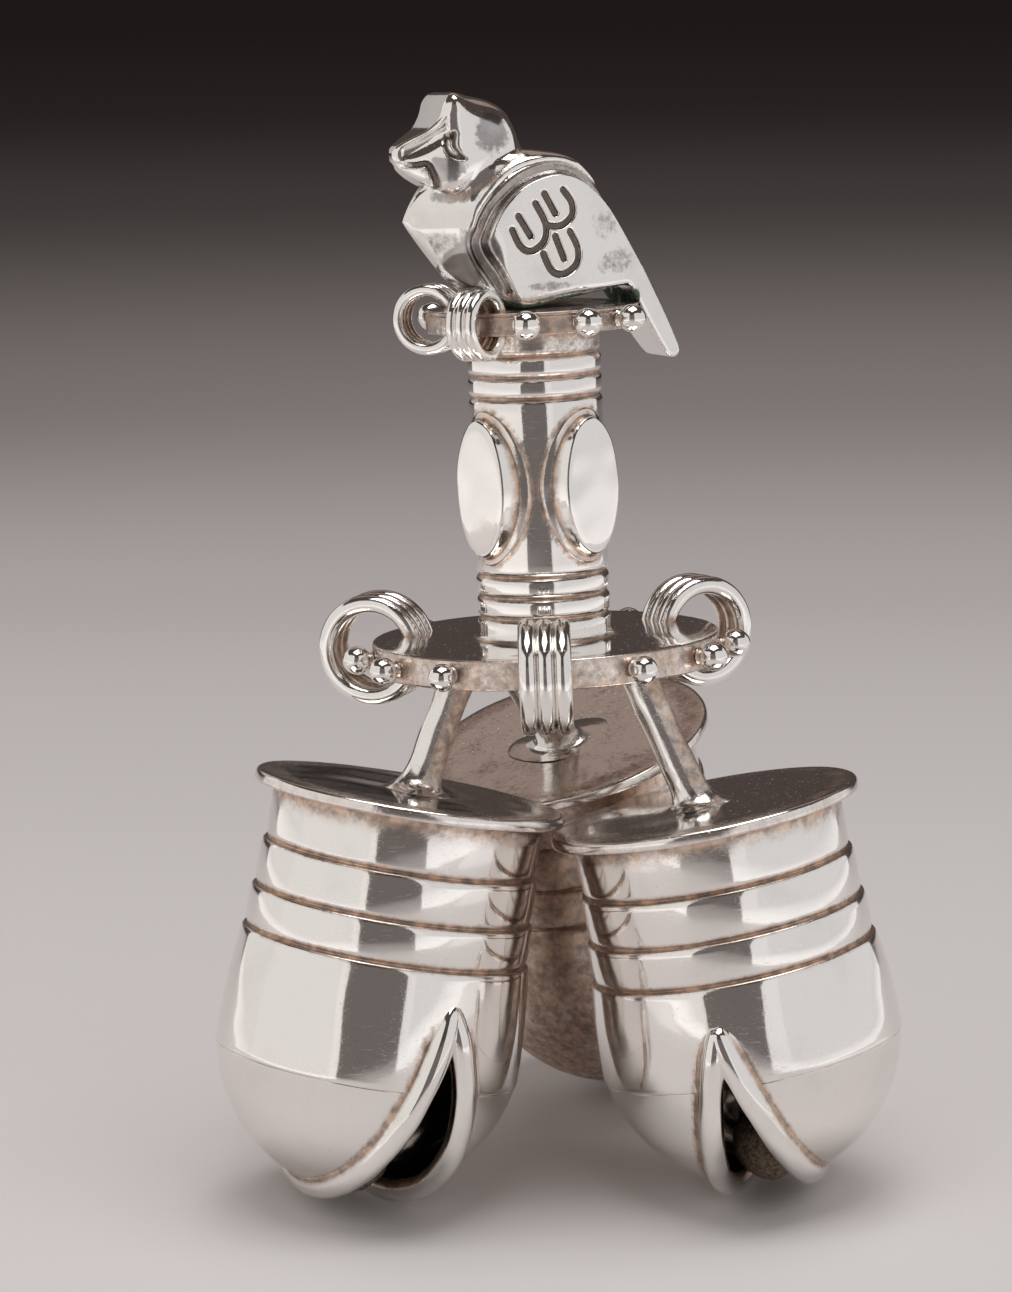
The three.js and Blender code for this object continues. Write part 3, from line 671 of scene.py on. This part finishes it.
def lip(line, side, seed):
    """A thick bar: a section of an arc, r cos a and r sin a, and solder on the shell's side is
    carried along the line, and shrinks towards the low tips"""
    section = np.array(LIP_SOLDER + [(LIP_RADIUS * math.cos(a), LIP_RADIUS * math.sin(a))
                                     for a in np.radians(np.linspace(22, 252, 24))])
    ahead = np.gradient(line, axis=0)
    ahead /= lengths(ahead)
    first, last = (line[end] + way * ahead[end] * TIP_ON for end, way in ((0, -1), (-1, 1)))
    first, last = (tip * ((norm(line[end]) - TIP_SUNK)
                          / norm(tip, axis=1))[:, None]
                   for tip, end in ((first, 0), (last, -1)))
    line = np.vstack([first[::-1], line, last])
    ahead = np.vstack([ahead[[0] * 3], ahead, ahead[[-1] * 3]])
    out = outwards(line)
    across = np.cross(ahead, out)
    across *= np.sign(across[:, :1].mean()) * side
    away = np.minimum(*(norm(line - line[end], axis=1) for end in (0, -1)))
    grow = np.interp(away, [0, 0.3, 1.1, 2.2, 4], [0.3, 0.6, 0.82, 0.93, 1])[:, None, None]
    verts = line[:, None] + grow * (section[None, :, :1] * across[:, None]
                                    + section[None, :, 1:] * out[:, None])
    return uneven((verts.reshape(-1, 3), grid_faces(len(line), len(section))), 0.05, 5, seed)


def lip_seams(bell, line, side):
    """Tarnish along both feet of a lip: its line moved across and inwards, less so at the ends"""
    out = outwards(line)
    across = np.cross(np.gradient(line, axis=0), out)
    across *= np.sign(across[:, :1].mean()) * side / lengths(across)
    away = np.minimum(*(norm(line - line[end], axis=1) for end in (0, -1)))
    taper = np.interp(away, [0, 2, 4], [0.35, 0.85, 1])[:, None]
    fine = np.linspace(0, len(line) - 1, 420)
    for reach, move_across, move_out in ((0.5, 1.75, -0.1), (0.9, -1.0, -0.8)):
        path = line + across * move_across * taper + out * move_out
        path = np.stack([np.interp(fine, range(len(line)), path[:, i]) for i in range(3)], 1)
        seam(moved(bell["place"], path), reach)


def strut(bell):
    """Rings along a bar from the lid to the lower disk, and their own tarnish, a little all round;
    on the +X side, away from the lit left, it is painted shade and reflection, dark brown.
    Exponentials of the distance from either end swell the radius, and slide the rings near an
    end along the bar, until they lie in the lid's or the disk's plane"""
    azimuth = math.radians(bell["strut"])
    top = moved(HANDLE, [STRUT_TOP_AT * math.cos(azimuth), STRUT_TOP_AT * math.sin(azimuth), 0])
    lid_way, disk_way = bell["place"][:3, 2], HANDLE[:3, 2]
    foot = bell["place"][:3, 3] + lid_way * bell["lid"]
    inward = (top - foot) - lid_way * ((top - foot) @ lid_way)
    foot = foot + STRUT_FOOT_AT * inward / norm(inward)
    along = top - foot
    length = norm(along)
    along /= length
    side = np.cross(along, (0, 0, 1))
    side /= norm(side)
    a = circle(56)
    ways = np.cos(a)[:, None] * side + np.sin(a)[:, None] * np.cross(along, side)
    pool = (2.3 + 0.7 * np.sin(2 * a + bell["azimuth"]) + 0.45 * np.sin(3 * a + 1)) * bell["pool"]
    low = [-0.1, 0.0, 0.04, 0.1, 0.18, 0.3, 0.5, 0.9, 1.5]
    high = length - np.array([1.4, 0.9, 0.5, 0.25, 0.1, 0])
    rows, dirt_and_painted_shade = [], []
    for s in np.concatenate([low, np.linspace(2.4, length - 2, 14), high]):
        swell = (pool * math.exp(-max(s, 0) / 0.32) + 1.0 * math.exp(-s / 1.3)
                 + 0.75 * math.exp(-(length - s) / 0.5))
        radius = STRUT_RADIUS * (1 + 0.03 * math.sin(s * 0.9 + bell["azimuth"])) + swell
        points = foot + along * s + ways * radius[:, None]
        from_lid = (points - foot) @ lid_way / (along @ lid_way) - s
        points = points - along * from_lid[:, None] * math.exp(-s / 1.5)
        from_disk = (points - top) @ disk_way / (along @ disk_way) + (length - s)
        points = points - along * from_disk[:, None] * math.exp(-(length - s) / 1.5)
        rows.append(points)
        # Painted shade and reflection: the +X side, away from the lit left, gets the dark brown
        # tone that it reflects, fading in over the first 2 mm above the lid
        dirt_and_painted_shade.append(0.06 + 0.62 * within(-ways[:, 0], -0.35, 0.5) * min(max(s, 0) / 2, 1))
    seam(rows[-2], 1.1)
    return (np.vstack(rows), grid_faces(len(rows), len(a))), np.concatenate(dirt_and_painted_shade)


def pellet():
    """A sphere, turned from radius sin t and radius cos t, with coarse and fine unevenness"""
    angles = np.linspace(0, math.pi, 40)
    profile = np.stack([PELLET_RADIUS * np.sin(angles), PELLET_RADIUS * np.cos(angles)], 1)
    return uneven(uneven(lathe(profile, 64), 0.12, 3, 8), 0.06, 0.9, 9)


def shaded(bell, verts):
    """Darker and browner where the bells stand close together, towards the rattle's middle: by the
    distance from that middle"""
    most, near, fade = bell["shade"]
    away = np.hypot(*(moved(bell["place"], verts)[:, :2] - CENTRE[:2]).T)
    return most * within(away, near, fade)


for name, bell in BELLS.items():
    place = bell["place"]
    verts, faces = lathe(rounded([(0, 0, 0), (LID_RADIUS, 0, 0.3), (LID_RADIUS, LID_THICK, 0.6),
                                  (0, LID_THICK, 0)]), 168)
    # Painted dark reflection: a grey film over each lid's top face, inside its rim, stands in for
    # the dark surroundings that the flat top reflects
    film_and_painted_reflection = (0.3 * within(-verts[:, 2], -LID_THICK + 0.02, 0.1)
            * within(np.hypot(*verts[:, :2].T), LID_RADIUS - 1, 0.3))
    piece(f"lid_{name}", uneven((verts, faces), 0.05, 11, bell["seed"]), dusty,
          place @ shift(0, 0, bell["lid"] - LID_THICK),
          dirt_and_painted_shade=bell["lid_shade"] * shaded(bell, verts), film_and_painted_reflection=film_and_painted_reflection)
    seam(ring(SLEEVE_TOP_RADIUS + 0.5, bell["top"] + GAP, place), 1.9)
    seam(ring(CUP_RADIUS + 0.05, -SEAM, place), 0.16)
    for part, shape in (("sleeve", sleeve(bell)), ("cup", cup())):
        verts, faces = uneven(slotted(shape, bell), 0.05, 10, bell["seed"] + 1)
        piece(f"{part}_{name}", (verts, faces), mirror, place, dirt_and_painted_shade=shaded(bell, verts))
    bars = []
    for side, line in zip((-1, 1), lip_lines(bell)):
        lip_seams(bell, line, side)
        bars.append(lip(line, side, 5 + side))
    verts, faces = joined(*bars)
    piece(f"lips_{name}", (verts, faces), mirror, place, dirt_and_painted_shade=shaded(bell, verts))
    shape, dirt_and_painted_shade = strut(bell)
    piece(f"strut_{name}", uneven(shape, 0.04, 4, 11), soldered, np.eye(4), dirt_and_painted_shade=dirt_and_painted_shade)
    piece(f"pellet_{name}", pellet(), stone.material, place @ shift(0, 0, bell["rest"]),
          body=f"pellet_{name}", slot="pellet_iron")


# The bird's lines: x ahead, y to its left, z up from its perch

def curved(points, closed=False, steps=6):
    """A smooth line through the points: between two of them, the cubic whose slope at each is
    half the way from its neighbour before to the one after"""
    p = np.asarray(points, float)
    n = len(p)
    out = []
    for i in range(n if closed else n - 1):
        p0 = p[(i - 1) % n] if closed or i else p[0]
        p1, p2 = p[i], p[(i + 1) % n]
        p3 = p[(i + 2) % n] if closed or i + 2 < n else p[-1]
        for t in np.linspace(0, 1, steps, endpoint=False):
            out.append(0.5 * (2 * p1 + (p2 - p0) * t + (2 * p0 - 5 * p1 + 4 * p2 - p3) * t * t
                              + (3 * p1 - p0 - 3 * p2 + p3) * t ** 3))
    if not closed:
        out.append(p[-1])
    return np.array(out)


# Side view, as (x, z): closed outlines, then open lines
OUTLINES = {key: curved(points, True) for key, points in dict(
    body=[
        (14.7, 10.3), (14.4, 9.4), (12.1, 6.4), (9.4, 3.5), (6.5, 1.5), (3.8, 0.25), (1.6, 0.25),
        (-1.5, 0.85), (-6, 1.5), (-9.0, 2.0), (-9.7, 1.9), (-10.2, 1.3), (-12.4, -2.6),
        (-14.4, -5.8), (-15.3, -6.5), (-16.2, -6.3), (-16.5, -5.4), (-15.9, -3.2), (-13.9, 1.4),
        (-11.2, 6.4), (-8.3, 11.2), (-6, 14.4), (-3.9, 16.2), (-0.5, 17.1), (3.5, 17.3),
        (7, 16.6), (10.4, 14.9), (12.9, 13.1)],
    head=[
        (9.4, 23.8), (10.5, 22.9), (11.1, 21.3), (12.3, 19.9), (14.1, 18.95), (15.4, 18.1),
        (15.75, 17.2), (15.3, 16.1), (13.9, 14.8), (11.7, 13.6), (9.4, 12.5), (6, 12.3),
        (2.5, 14.2), (0.7, 16.8), (0.95, 18.5), (1.75, 20.4), (3, 21.9), (4.8, 22.8), (7, 23.3)],
    wing=[
        (6.9, 7), (6.7, 8.6), (5.2, 11.2), (2.4, 13.5), (-0.9, 14.4), (-3.4, 13.9), (-5.8, 12.1),
        (-7.8, 9.8), (-10.8, 5), (-13.4, 0.3), (-15.6, -4), (-16.6, -6.5), (-15.5, -8),
        (-14, -7.5), (-11.6, -3), (-9.3, 0.4), (-5, 0.3), (0.6, -0.6), (3.0, -0.4), (5.3, 4.1)],
    eye=[(9.8, 19.5), (10.6, 19.2), (11.0, 18.2), (10.6, 17.1), (9.8, 16.6), (8.8, 16.6),
         (9.4, 17.2), (9.9, 18.1)]).items()}
LINES = dict(
    mouth=curved([(15.6, 16.2), (13.8, 16.12), (12.6, 16.2), (12.0, 15.01), (11.54, 13.7)],
                 steps=3),
    pupil=curved([(10.4, 18.5), (10.35, 17.85), (9.95, 17.3)]),
    scoop=curved([(8.7, 22.3), (10.2, 20.1), (12.0, 18.75), (13.7, 17.85), (15.3, 17.3)]),
    neck=curved([(10.6, 13.2), (9.7, 12.4), (8.07, 13.14), (5.95, 14.31), (4.05, 15.72),
                 (2.27, 16.91)]))
FEATHERS = [curved(line) for line in (
    [(4.52, 8.75), (3.6, 6.85), (2.2, 6.4), (0.85, 7.5), (0.68, 9.3), (1.75, 11.48)],
    [(0.35, 9.0), (-1.2, 8.95), (-2.5, 10.0), (-2.5, 11.4), (-1.54, 12.81)],
    [(1.07, 6.0), (0.15, 4.1), (-1.35, 3.7), (-2.85, 4.75), (-3.05, 6.4), (-2.16, 8.28)],
    [(3.76, 10.2), (2.48, 8.0)], [(0.67, 12.5), (-0.5, 10.3)], [(-0.4, 7.84), (-1.33, 5.33)])]

# Along the bird, as (x, value): half widths, rounding of the edges, depth under the brow
ALONG = {key: curved(points, steps=10) for key, points in dict(
    body_half=[
        (-20, 1.2), (-17, 1.9), (-14.8, 2.8), (-10.5, 4.2), (-6.8, 5.4), (-2, 6.2), (4.3, 6.2),
        (7.5, 5.9), (9.2, 5.2), (14.8, 1.2), (20, 0)],
    head_half=[
        (-20, 3), (0, 4.1), (3, 4.7), (7, 5), (10, 4.8), (12.2, 3.4), (14.1, 2.1), (15.5, 1.3),
        (16, 1), (20, 0.5)],
    head_round=[(-20, 5.5), (0, 5.5), (7, 4.4), (10, 1.6), (12, 0.7), (16, 0.55), (20, 0.55)],
    body_round=[(-20, 0.9), (-15, 1.0), (-8, 1.9), (0, 2.8), (7, 2.2), (10, 0.9), (20, 0.8)],
    scoop_depth=[(-20, 0), (8.3, 0), (9.0, 0.15), (10.2, 0.8), (12.5, 0.8), (14.5, 0.4),
                 (15.6, 0.1), (20, 0)]).items()}

# Grey patches: place, width and height, strength
PATCHES = (
    (5.7, 19.2, 2.3, 2.5, 0.8), (10.9, 15.6, 2.4, 1.5, 0.8), (9.9, 12.6, 2.6, 0.9, 0.7),
    (8.2, 5.6, 2.4, 3.8, 0.95), (-8, 4.6, 2.9, 1.6, 0.5), (0.6, 2.4, 3.4, 0.7, 0.6),
    (12.2, 7.4, 2.2, 2.0, 0.62), (-6.5, 8.6, 2.2, 2.2, 0.42))
BREAST_PATCH = (9.3, 4.2, 2.4, 3.0)
BREAST_RIDGE = 9.3
PERCH_END = -11


# The bird, from a distance field

def outline_distance(x, z, points, closed=True):
    """Distance to the nearest of a line's stretches; inside a closed line, where a ray ahead
    crosses it an odd number of times, it is negative"""
    ends = np.roll(points, -1, 0) if closed else points[1:]
    best = np.full(x.shape, 1e9)
    inside = np.zeros(x.shape, bool)
    for (ax, az), (bx, bz) in zip(points, ends):
        ex, ez = bx - ax, bz - az
        t = np.clip(((x - ax) * ex + (z - az) * ez) / (ex * ex + ez * ez), 0, 1)
        best = np.minimum(best, (x - ax - t * ex) ** 2 + (z - az - t * ez) ** 2)
        if closed:
            crosses = (az > z) != (bz > z)
            inside ^= crosses & (x < (bx - ax) * (z - az) / (bz - az + 1e-12) + ax)
    best = np.sqrt(best)
    return np.where(inside, -best, best)


def soft_max(a, b, k):
    """The larger of two, rounded over where they differ by less than k: with h the share of a,
    b + (a - b) h + k h (1 - h)"""
    h = np.clip(0.5 - 0.5 * (b - a) / k, 0, 1)
    return b + (a - b) * h + k * h * (1 - h)


def bird_fields(x, z):
    """What of the bird depends only on its side view: distances to its lines, and its half
    widths and roundings. The breast narrows away from its ridge, and the head below its middle"""
    f = {key: outline_distance(x, z, line) for key, line in OUTLINES.items()}
    f |= {key: outline_distance(x, z, line, False) for key, line in LINES.items()}
    f |= {key: np.interp(x, line[:, 0], line[:, 1]) for key, line in ALONG.items()}
    f["feathers"] = np.minimum.reduce([outline_distance(x, z, line, False) for line in FEATHERS])
    ahead = smooth((x - 5) / 5)
    below, above = np.maximum(BREAST_RIDGE - z, 0), np.maximum(z - BREAST_RIDGE, 0)
    f["body_half"] -= ahead * (0.3 * np.sqrt(below ** 2 + 0.1) + 0.14 * above)
    f["head_half"] -= 0.035 * np.maximum(17 - z, 0) ** 2
    return f


def bird_distance(x, y, z, f):
    """About the distance to the bird's surface: the larger of the distance to the side outline
    and to the half width, for body and head, and the smaller of these two. The wing stands out,
    and feathers, band, eye and mouth are cut in where their lines are near"""
    y = np.abs(y)
    half = f["body_half"] - 0.7 + 1.4 * within(f["wing"], 0, 0.4)
    carve = 0.55 * within(f["feathers"], 0.26, 0.16)
    carve += (0.5 * within(np.abs(f["wing"] - 0.9), 0.35, 0.4)
              - 0.3 * within(np.abs(f["wing"] - 2.2), 0.1, 0.6))
    body = soft_max(f["body"], y - half + carve,
                    np.maximum(f["body_round"] - 1.2 * within(z, 3, 2), 0.4))
    head_side = y - f["head_half"] + f["scoop_depth"] * within(f["scoop"], 0.1, 1.1)
    head_side += 0.35 * within(f["eye"], -0.15, 0.35) - 0.25 * within(f["pupil"], 0.05, 0.3)
    head_side += 0.5 * within(f["mouth"], 0.2, 0.2)
    head = soft_max(f["head"], head_side, f["head_round"])
    return -soft_max(-body, -head, 0.35)


def surface_nets(value, low, step):
    """A mesh of quads where the field is zero: a point in each cell that the surface crosses,
    at the mean of the crossings of its edges, and a quad round each grid edge that it crosses"""
    inside = value < 0
    corners = [(i, j, k) for i in (0, 1) for j in (0, 1) for k in (0, 1)]

    def at(array, c):
        """The grid's values at one corner of every cell"""
        return array[tuple(slice(v, size - 1 + v) for v, size in zip(c, value.shape))]

    total = sum(at(inside, c).astype(np.int8) for c in corners)
    mixed = (total > 0) & (total < 8)
    number = np.full(mixed.shape, -1)
    number[mixed] = np.arange(mixed.sum())
    cells = np.argwhere(mixed)
    places = np.zeros((len(cells), 3))
    count = np.zeros(len(cells))
    for a in corners:
        for axis in range(3):
            if a[axis]:
                continue
            b = tuple(v + (i == axis) for i, v in enumerate(a))
            va, vb = at(value, a)[mixed], at(value, b)[mixed]
            hit = (va < 0) != (vb < 0)
            place = np.tile(np.array(a, float), (len(cells), 1))
            place[:, axis] += np.where(hit, va / np.where(hit, va - vb, 1), 0)
            places[hit] += place[hit]
            count[hit] += 1
    verts = low + step * (cells + places / count[:, None])
    faces = []
    for axis in range(3):
        u, v = np.roll(np.eye(3, dtype=int), -axis, 0)[1:]
        a, b = (inside[tuple(along if i == axis else slice(1, -1) for i in range(3))]
                for along in (slice(0, -1), slice(1, None)))
        for flip, where in ((False, a & ~b), (True, ~a & b)):
            spots = np.argwhere(where) + u + v
            quad = np.stack([number[tuple((spots + du * u + dv * v).T)]
                             for du, dv in ((-1, -1), (0, -1), (0, 0), (-1, 0))], 1)
            faces.append(quad[:, ::-1] if flip else quad)
    return verts, np.vstack(faces)


def bird_shape():
    """The field's zero surface, each point then moved three times down the field's slope, by
    the field over the slope squared. A finer grid would pass 200,000 triangles"""
    step = 0.162
    low, high = np.array([-17.2, -8, -7.2]), np.array([16.6, 8, 24.6])
    counts = np.ceil((high - low) / step).astype(int)
    xs, ys, zs = (low[i] + step * np.arange(counts[i]) for i in range(3))
    x, z = np.meshgrid(xs, zs, indexing="ij")
    f = {key: value[:, None, :] for key, value in bird_fields(x, z).items()}
    value = bird_distance(x[:, None, :], ys[None, :, None], z[:, None, :], f)
    verts, faces = surface_nets(value, low, step)

    def field(p):
        """The distance at any points"""
        return bird_distance(p[:, 0], p[:, 1], p[:, 2], bird_fields(p[:, 0], p[:, 2]))

    nudge = 0.02
    for _ in range(3):
        here = field(verts)
        slope = np.stack([(field(verts + e) - here) / nudge for e in np.eye(3) * nudge], 1)
        move = -here[:, None] * slope / np.maximum((slope ** 2).sum(1, keepdims=True), 0.3)
        verts = verts + np.clip(move, -0.08, 0.08)
    return verts, faces


def patch(x, z, middle_x, middle_z, wide, high, power):
    """e to minus ((distance ahead / wide)² + (distance up / high)²)^power"""
    return np.exp(-(((x - middle_x) / wide) ** 2 + ((z - middle_z) / high) ** 2) ** power)


def bird_stains(verts):
    """Tarnish, film and verdigris: dark in the cuts and the band, in patches on the sides, round
    the neck and the perch, and green along the lower edge"""
    x, y, z = verts.T
    f = bird_fields(x, z)
    side = within(-np.abs(y), -1.8, 0.6)
    eye = within(f["eye"], 0.0, 0.25) * (1 - 0.6 * within(f["pupil"], 0.1, 0.2))
    cut = side * np.maximum.reduce([within(f["feathers"], 0.24, 0.2),
                                    within(f["mouth"], 0.2, 0.3), eye])
    band = within(np.abs(f["wing"] - 0.95), 0.35, 0.35) * side
    film_and_painted_reflection = np.maximum(cut, 0.65 * band)
    for *where, strength in PATCHES:
        film_and_painted_reflection = np.maximum(film_and_painted_reflection, strength * patch(x, z, *where, 2) * side)
    breast = np.minimum(1.4 * patch(x, z, *BREAST_PATCH, 1.5) * side, 0.96)
    film_and_painted_reflection = np.maximum(film_and_painted_reflection, breast)
    perch = x > PERCH_END
    dirt_and_painted_shade = np.maximum.reduce([
        0.42 * cut, 0.35 * band, 0.3 * breast, 0.6 * within(f["neck"], 0.05, 0.8) * side,
        0.7 * within(z, 0.5, 2.0) * perch, 0.1 + 0 * x])
    green = 0.9 * within(np.abs(f["body"]), 0.3, 0.5) * within(z, 1.0, 1.3) * perch
    return dict(dirt_and_painted_shade=dirt_and_painted_shade, film_and_painted_reflection=film_and_painted_reflection, verdigris=green)


shape = bird_shape()
seam(moved(BIRD, [(x, y, 0) for x in np.linspace(-5, 6, 34) for y in (-4, -2, 0, 2, 4)]), 1.1)
piece("bird", shape, figure, BIRD, ["bird_body", "bird_wing_left", "bird_wing_right"],
      **bird_stains(shape[0]))

write_tarnish_and_painted_shade()


# Floor, in metres, with its colours at shares of the fade behind the rattle: pale near it, then
# painted shade, darker and darker where the studio light falls off

FLOOR_FADE = 2.3
FLOOR_COLOURS = (
    (0.0, (0.82, 0.785, 0.78)), (0.1, (0.755, 0.722, 0.72)), (0.145, (0.7, 0.665, 0.665)),
    (0.256, (0.5, 0.47, 0.47)), (0.478, (0.225, 0.21, 0.21)), (0.7, (0.105, 0.096, 0.096)),
    (1.0, (0.063, 0.055, 0.056)))


def floor():
    """A flat sheet; its colour is a smooth ramp of y over the fade, pale by the rattle and then a
    painted falloff of light, darker behind it
    """
    mesh = bpy.data.meshes.new("floor")
    mesh.from_pydata([(-6, -3, 0), (6, -3, 0), (6, 9, 0), (-6, 9, 0)], [], [(0, 1, 2, 3)])
    look = Look("floor_pale_painted_falloff", Roughness=0.75)
    behind = made(look.tree, "SeparateXYZ", "Y", {0: look.place})
    share = made(look.tree, "MapRange", "Result", {"Value": behind, "From Max": FLOOR_FADE})
    colour = made(look.tree, "ValToRGB", "Color", {"Fac": share})
    ramp = colour.out.node.color_ramp
    ramp.interpolation = "EASE"
    for at in (0, -1):
        ramp.elements[at].position = FLOOR_COLOURS[at][0]
        ramp.elements[at].color = (*FLOOR_COLOURS[at][1], 1)
    for place, tone in FLOOR_COLOURS[1:-1]:
        ramp.elements.new(place).color = (*tone, 1)
    look.set("Base Color", colour)
    mesh.materials.append(look.material)
    add_object("floor", mesh)


floor()


# Lamps, in metres

WARM, COOL, PLAIN = (1, 0.985, 0.965), (0.985, 0.99, 1), (1, 1, 1)
WALL_HEIGHT = 0.34


def lamp(name, place, aim, size, radiance, colour=PLAIN):
    """A rectangular lamp turned to its aim, its power radiance times pi times its area"""
    light = bpy.data.lights.new(name, "AREA")
    light.shape, light.size, light.size_y = "RECTANGLE", *size
    light.energy, light.color = radiance * math.pi * size[0] * size[1], colour
    obj = add_object(name, light)
    obj.location = place
    obj.rotation_euler = (Vector(aim) - Vector(place)).to_track_quat("-Z", "Y").to_euler()


def wall(name, start, end, radiance, colour, height=WALL_HEIGHT, foot=0.0):
    """A bright wall from start to end, turned to the side on which the rattle stands"""
    (ax, ay), (bx, by) = start, end
    middle = ((ax + bx) / 2, (ay + by) / 2, foot + height / 2)
    turned = 1 if ax * by - ay * bx > 0 else -1
    aim = (middle[0] - turned * (by - ay), middle[1] + turned * (bx - ax), middle[2])
    lamp(name, middle, aim, (math.hypot(bx - ax, by - ay), height), radiance, colour)


wall("wall_left", (-0.11, -0.25), (-0.42, 0.0), 0.72, WARM)
wall("wall_left_back", (-0.42, 0.0), (-0.34, 0.28), 0.69, WARM)
wall("wall_right", (0.078, -0.26), (0.42, 0.0), 0.65, COOL)
wall("wall_right_back", (0.42, 0.0), (0.34, 0.28), 0.65, COOL)
wall("card_high", (-0.42, 0.28), (-0.2, 0.5), 0.4, (1, 0.98, 0.97), height=0.24, foot=0.13)
for name, x in (("card_left", -0.168), ("card_right", 0.168)):
    lamp(name, (x, -0.06, 0.001), (x, -0.06, 1), (0.09, 0.19), 0.16)
wall("room_glow", (-0.8, -1.5), (0.8, -1.5), 0.085, (1, 0.95, 0.93), height=1.0)
lamp("softbox_top", (0.05, -0.05, 1.0), (0, 0, 0), (0.75, 0.6), 3.5)
lamp("softbox_back", (0.0, 0.8, 0.75), (0, 0, 0.04), (0.9, 0.5), 0.24, (1, 0.76, 0.66))


# World: one colour for light and reflections, a darker one for the camera

SKY_LIGHT, SKY_SEEN = (0.07, 0.055, 0.05), (0.014, 0.012, 0.012)

world = bpy.data.worlds.new("studio")
bpy.context.scene.world = world
world.use_nodes = True
background = world.node_tree.nodes["Background"]
seen = made(world.node_tree, "LightPath", "Is Camera Ray", {})
world.node_tree.links.new(seen.mix(SKY_LIGHT, SKY_SEEN).out, background.inputs[0])
background.inputs[1].default_value = 1.0


# Camera: lens and shift in pixels of the photograph, distance and height in millimetres

LONG_SIDE, SENSOR, FOCAL_PIXELS, SHIFT_PIXELS = 1292, 36, 4017, (-49, -4.4)
DISTANCE, AIM_HEIGHT, TILT, ROLL = 440, 60.4, math.radians(12), math.radians(0.8)

camera = bpy.data.cameras.new("camera")
camera.sensor_width = SENSOR
camera.lens = FOCAL_PIXELS * SENSOR / LONG_SIDE
camera.shift_x, camera.shift_y = (pixels / LONG_SIDE for pixels in SHIFT_PIXELS)
camera.clip_start, camera.clip_end = 0.01, 30
view = add_object("camera", camera)
ahead = np.array([0, math.cos(TILT), -math.sin(TILT)])
right, up = np.array([1.0, 0, 0]), np.array([0, math.sin(TILT), math.cos(TILT)])
pose = np.eye(4)
pose[:3, 0] = right * math.cos(ROLL) - up * math.sin(ROLL)
pose[:3, 1] = up * math.cos(ROLL) + right * math.sin(ROLL)
pose[:3, 2] = -ahead
pose[:3, 3] = np.array([CENTRE[0], CENTRE[1] - DISTANCE,
                        AIM_HEIGHT + DISTANCE * math.tan(TILT)]) * MM
view.matrix_world = Matrix(pose.tolist())
bpy.context.scene.camera = view
bpy.context.scene.view_settings.view_transform = "Standard"
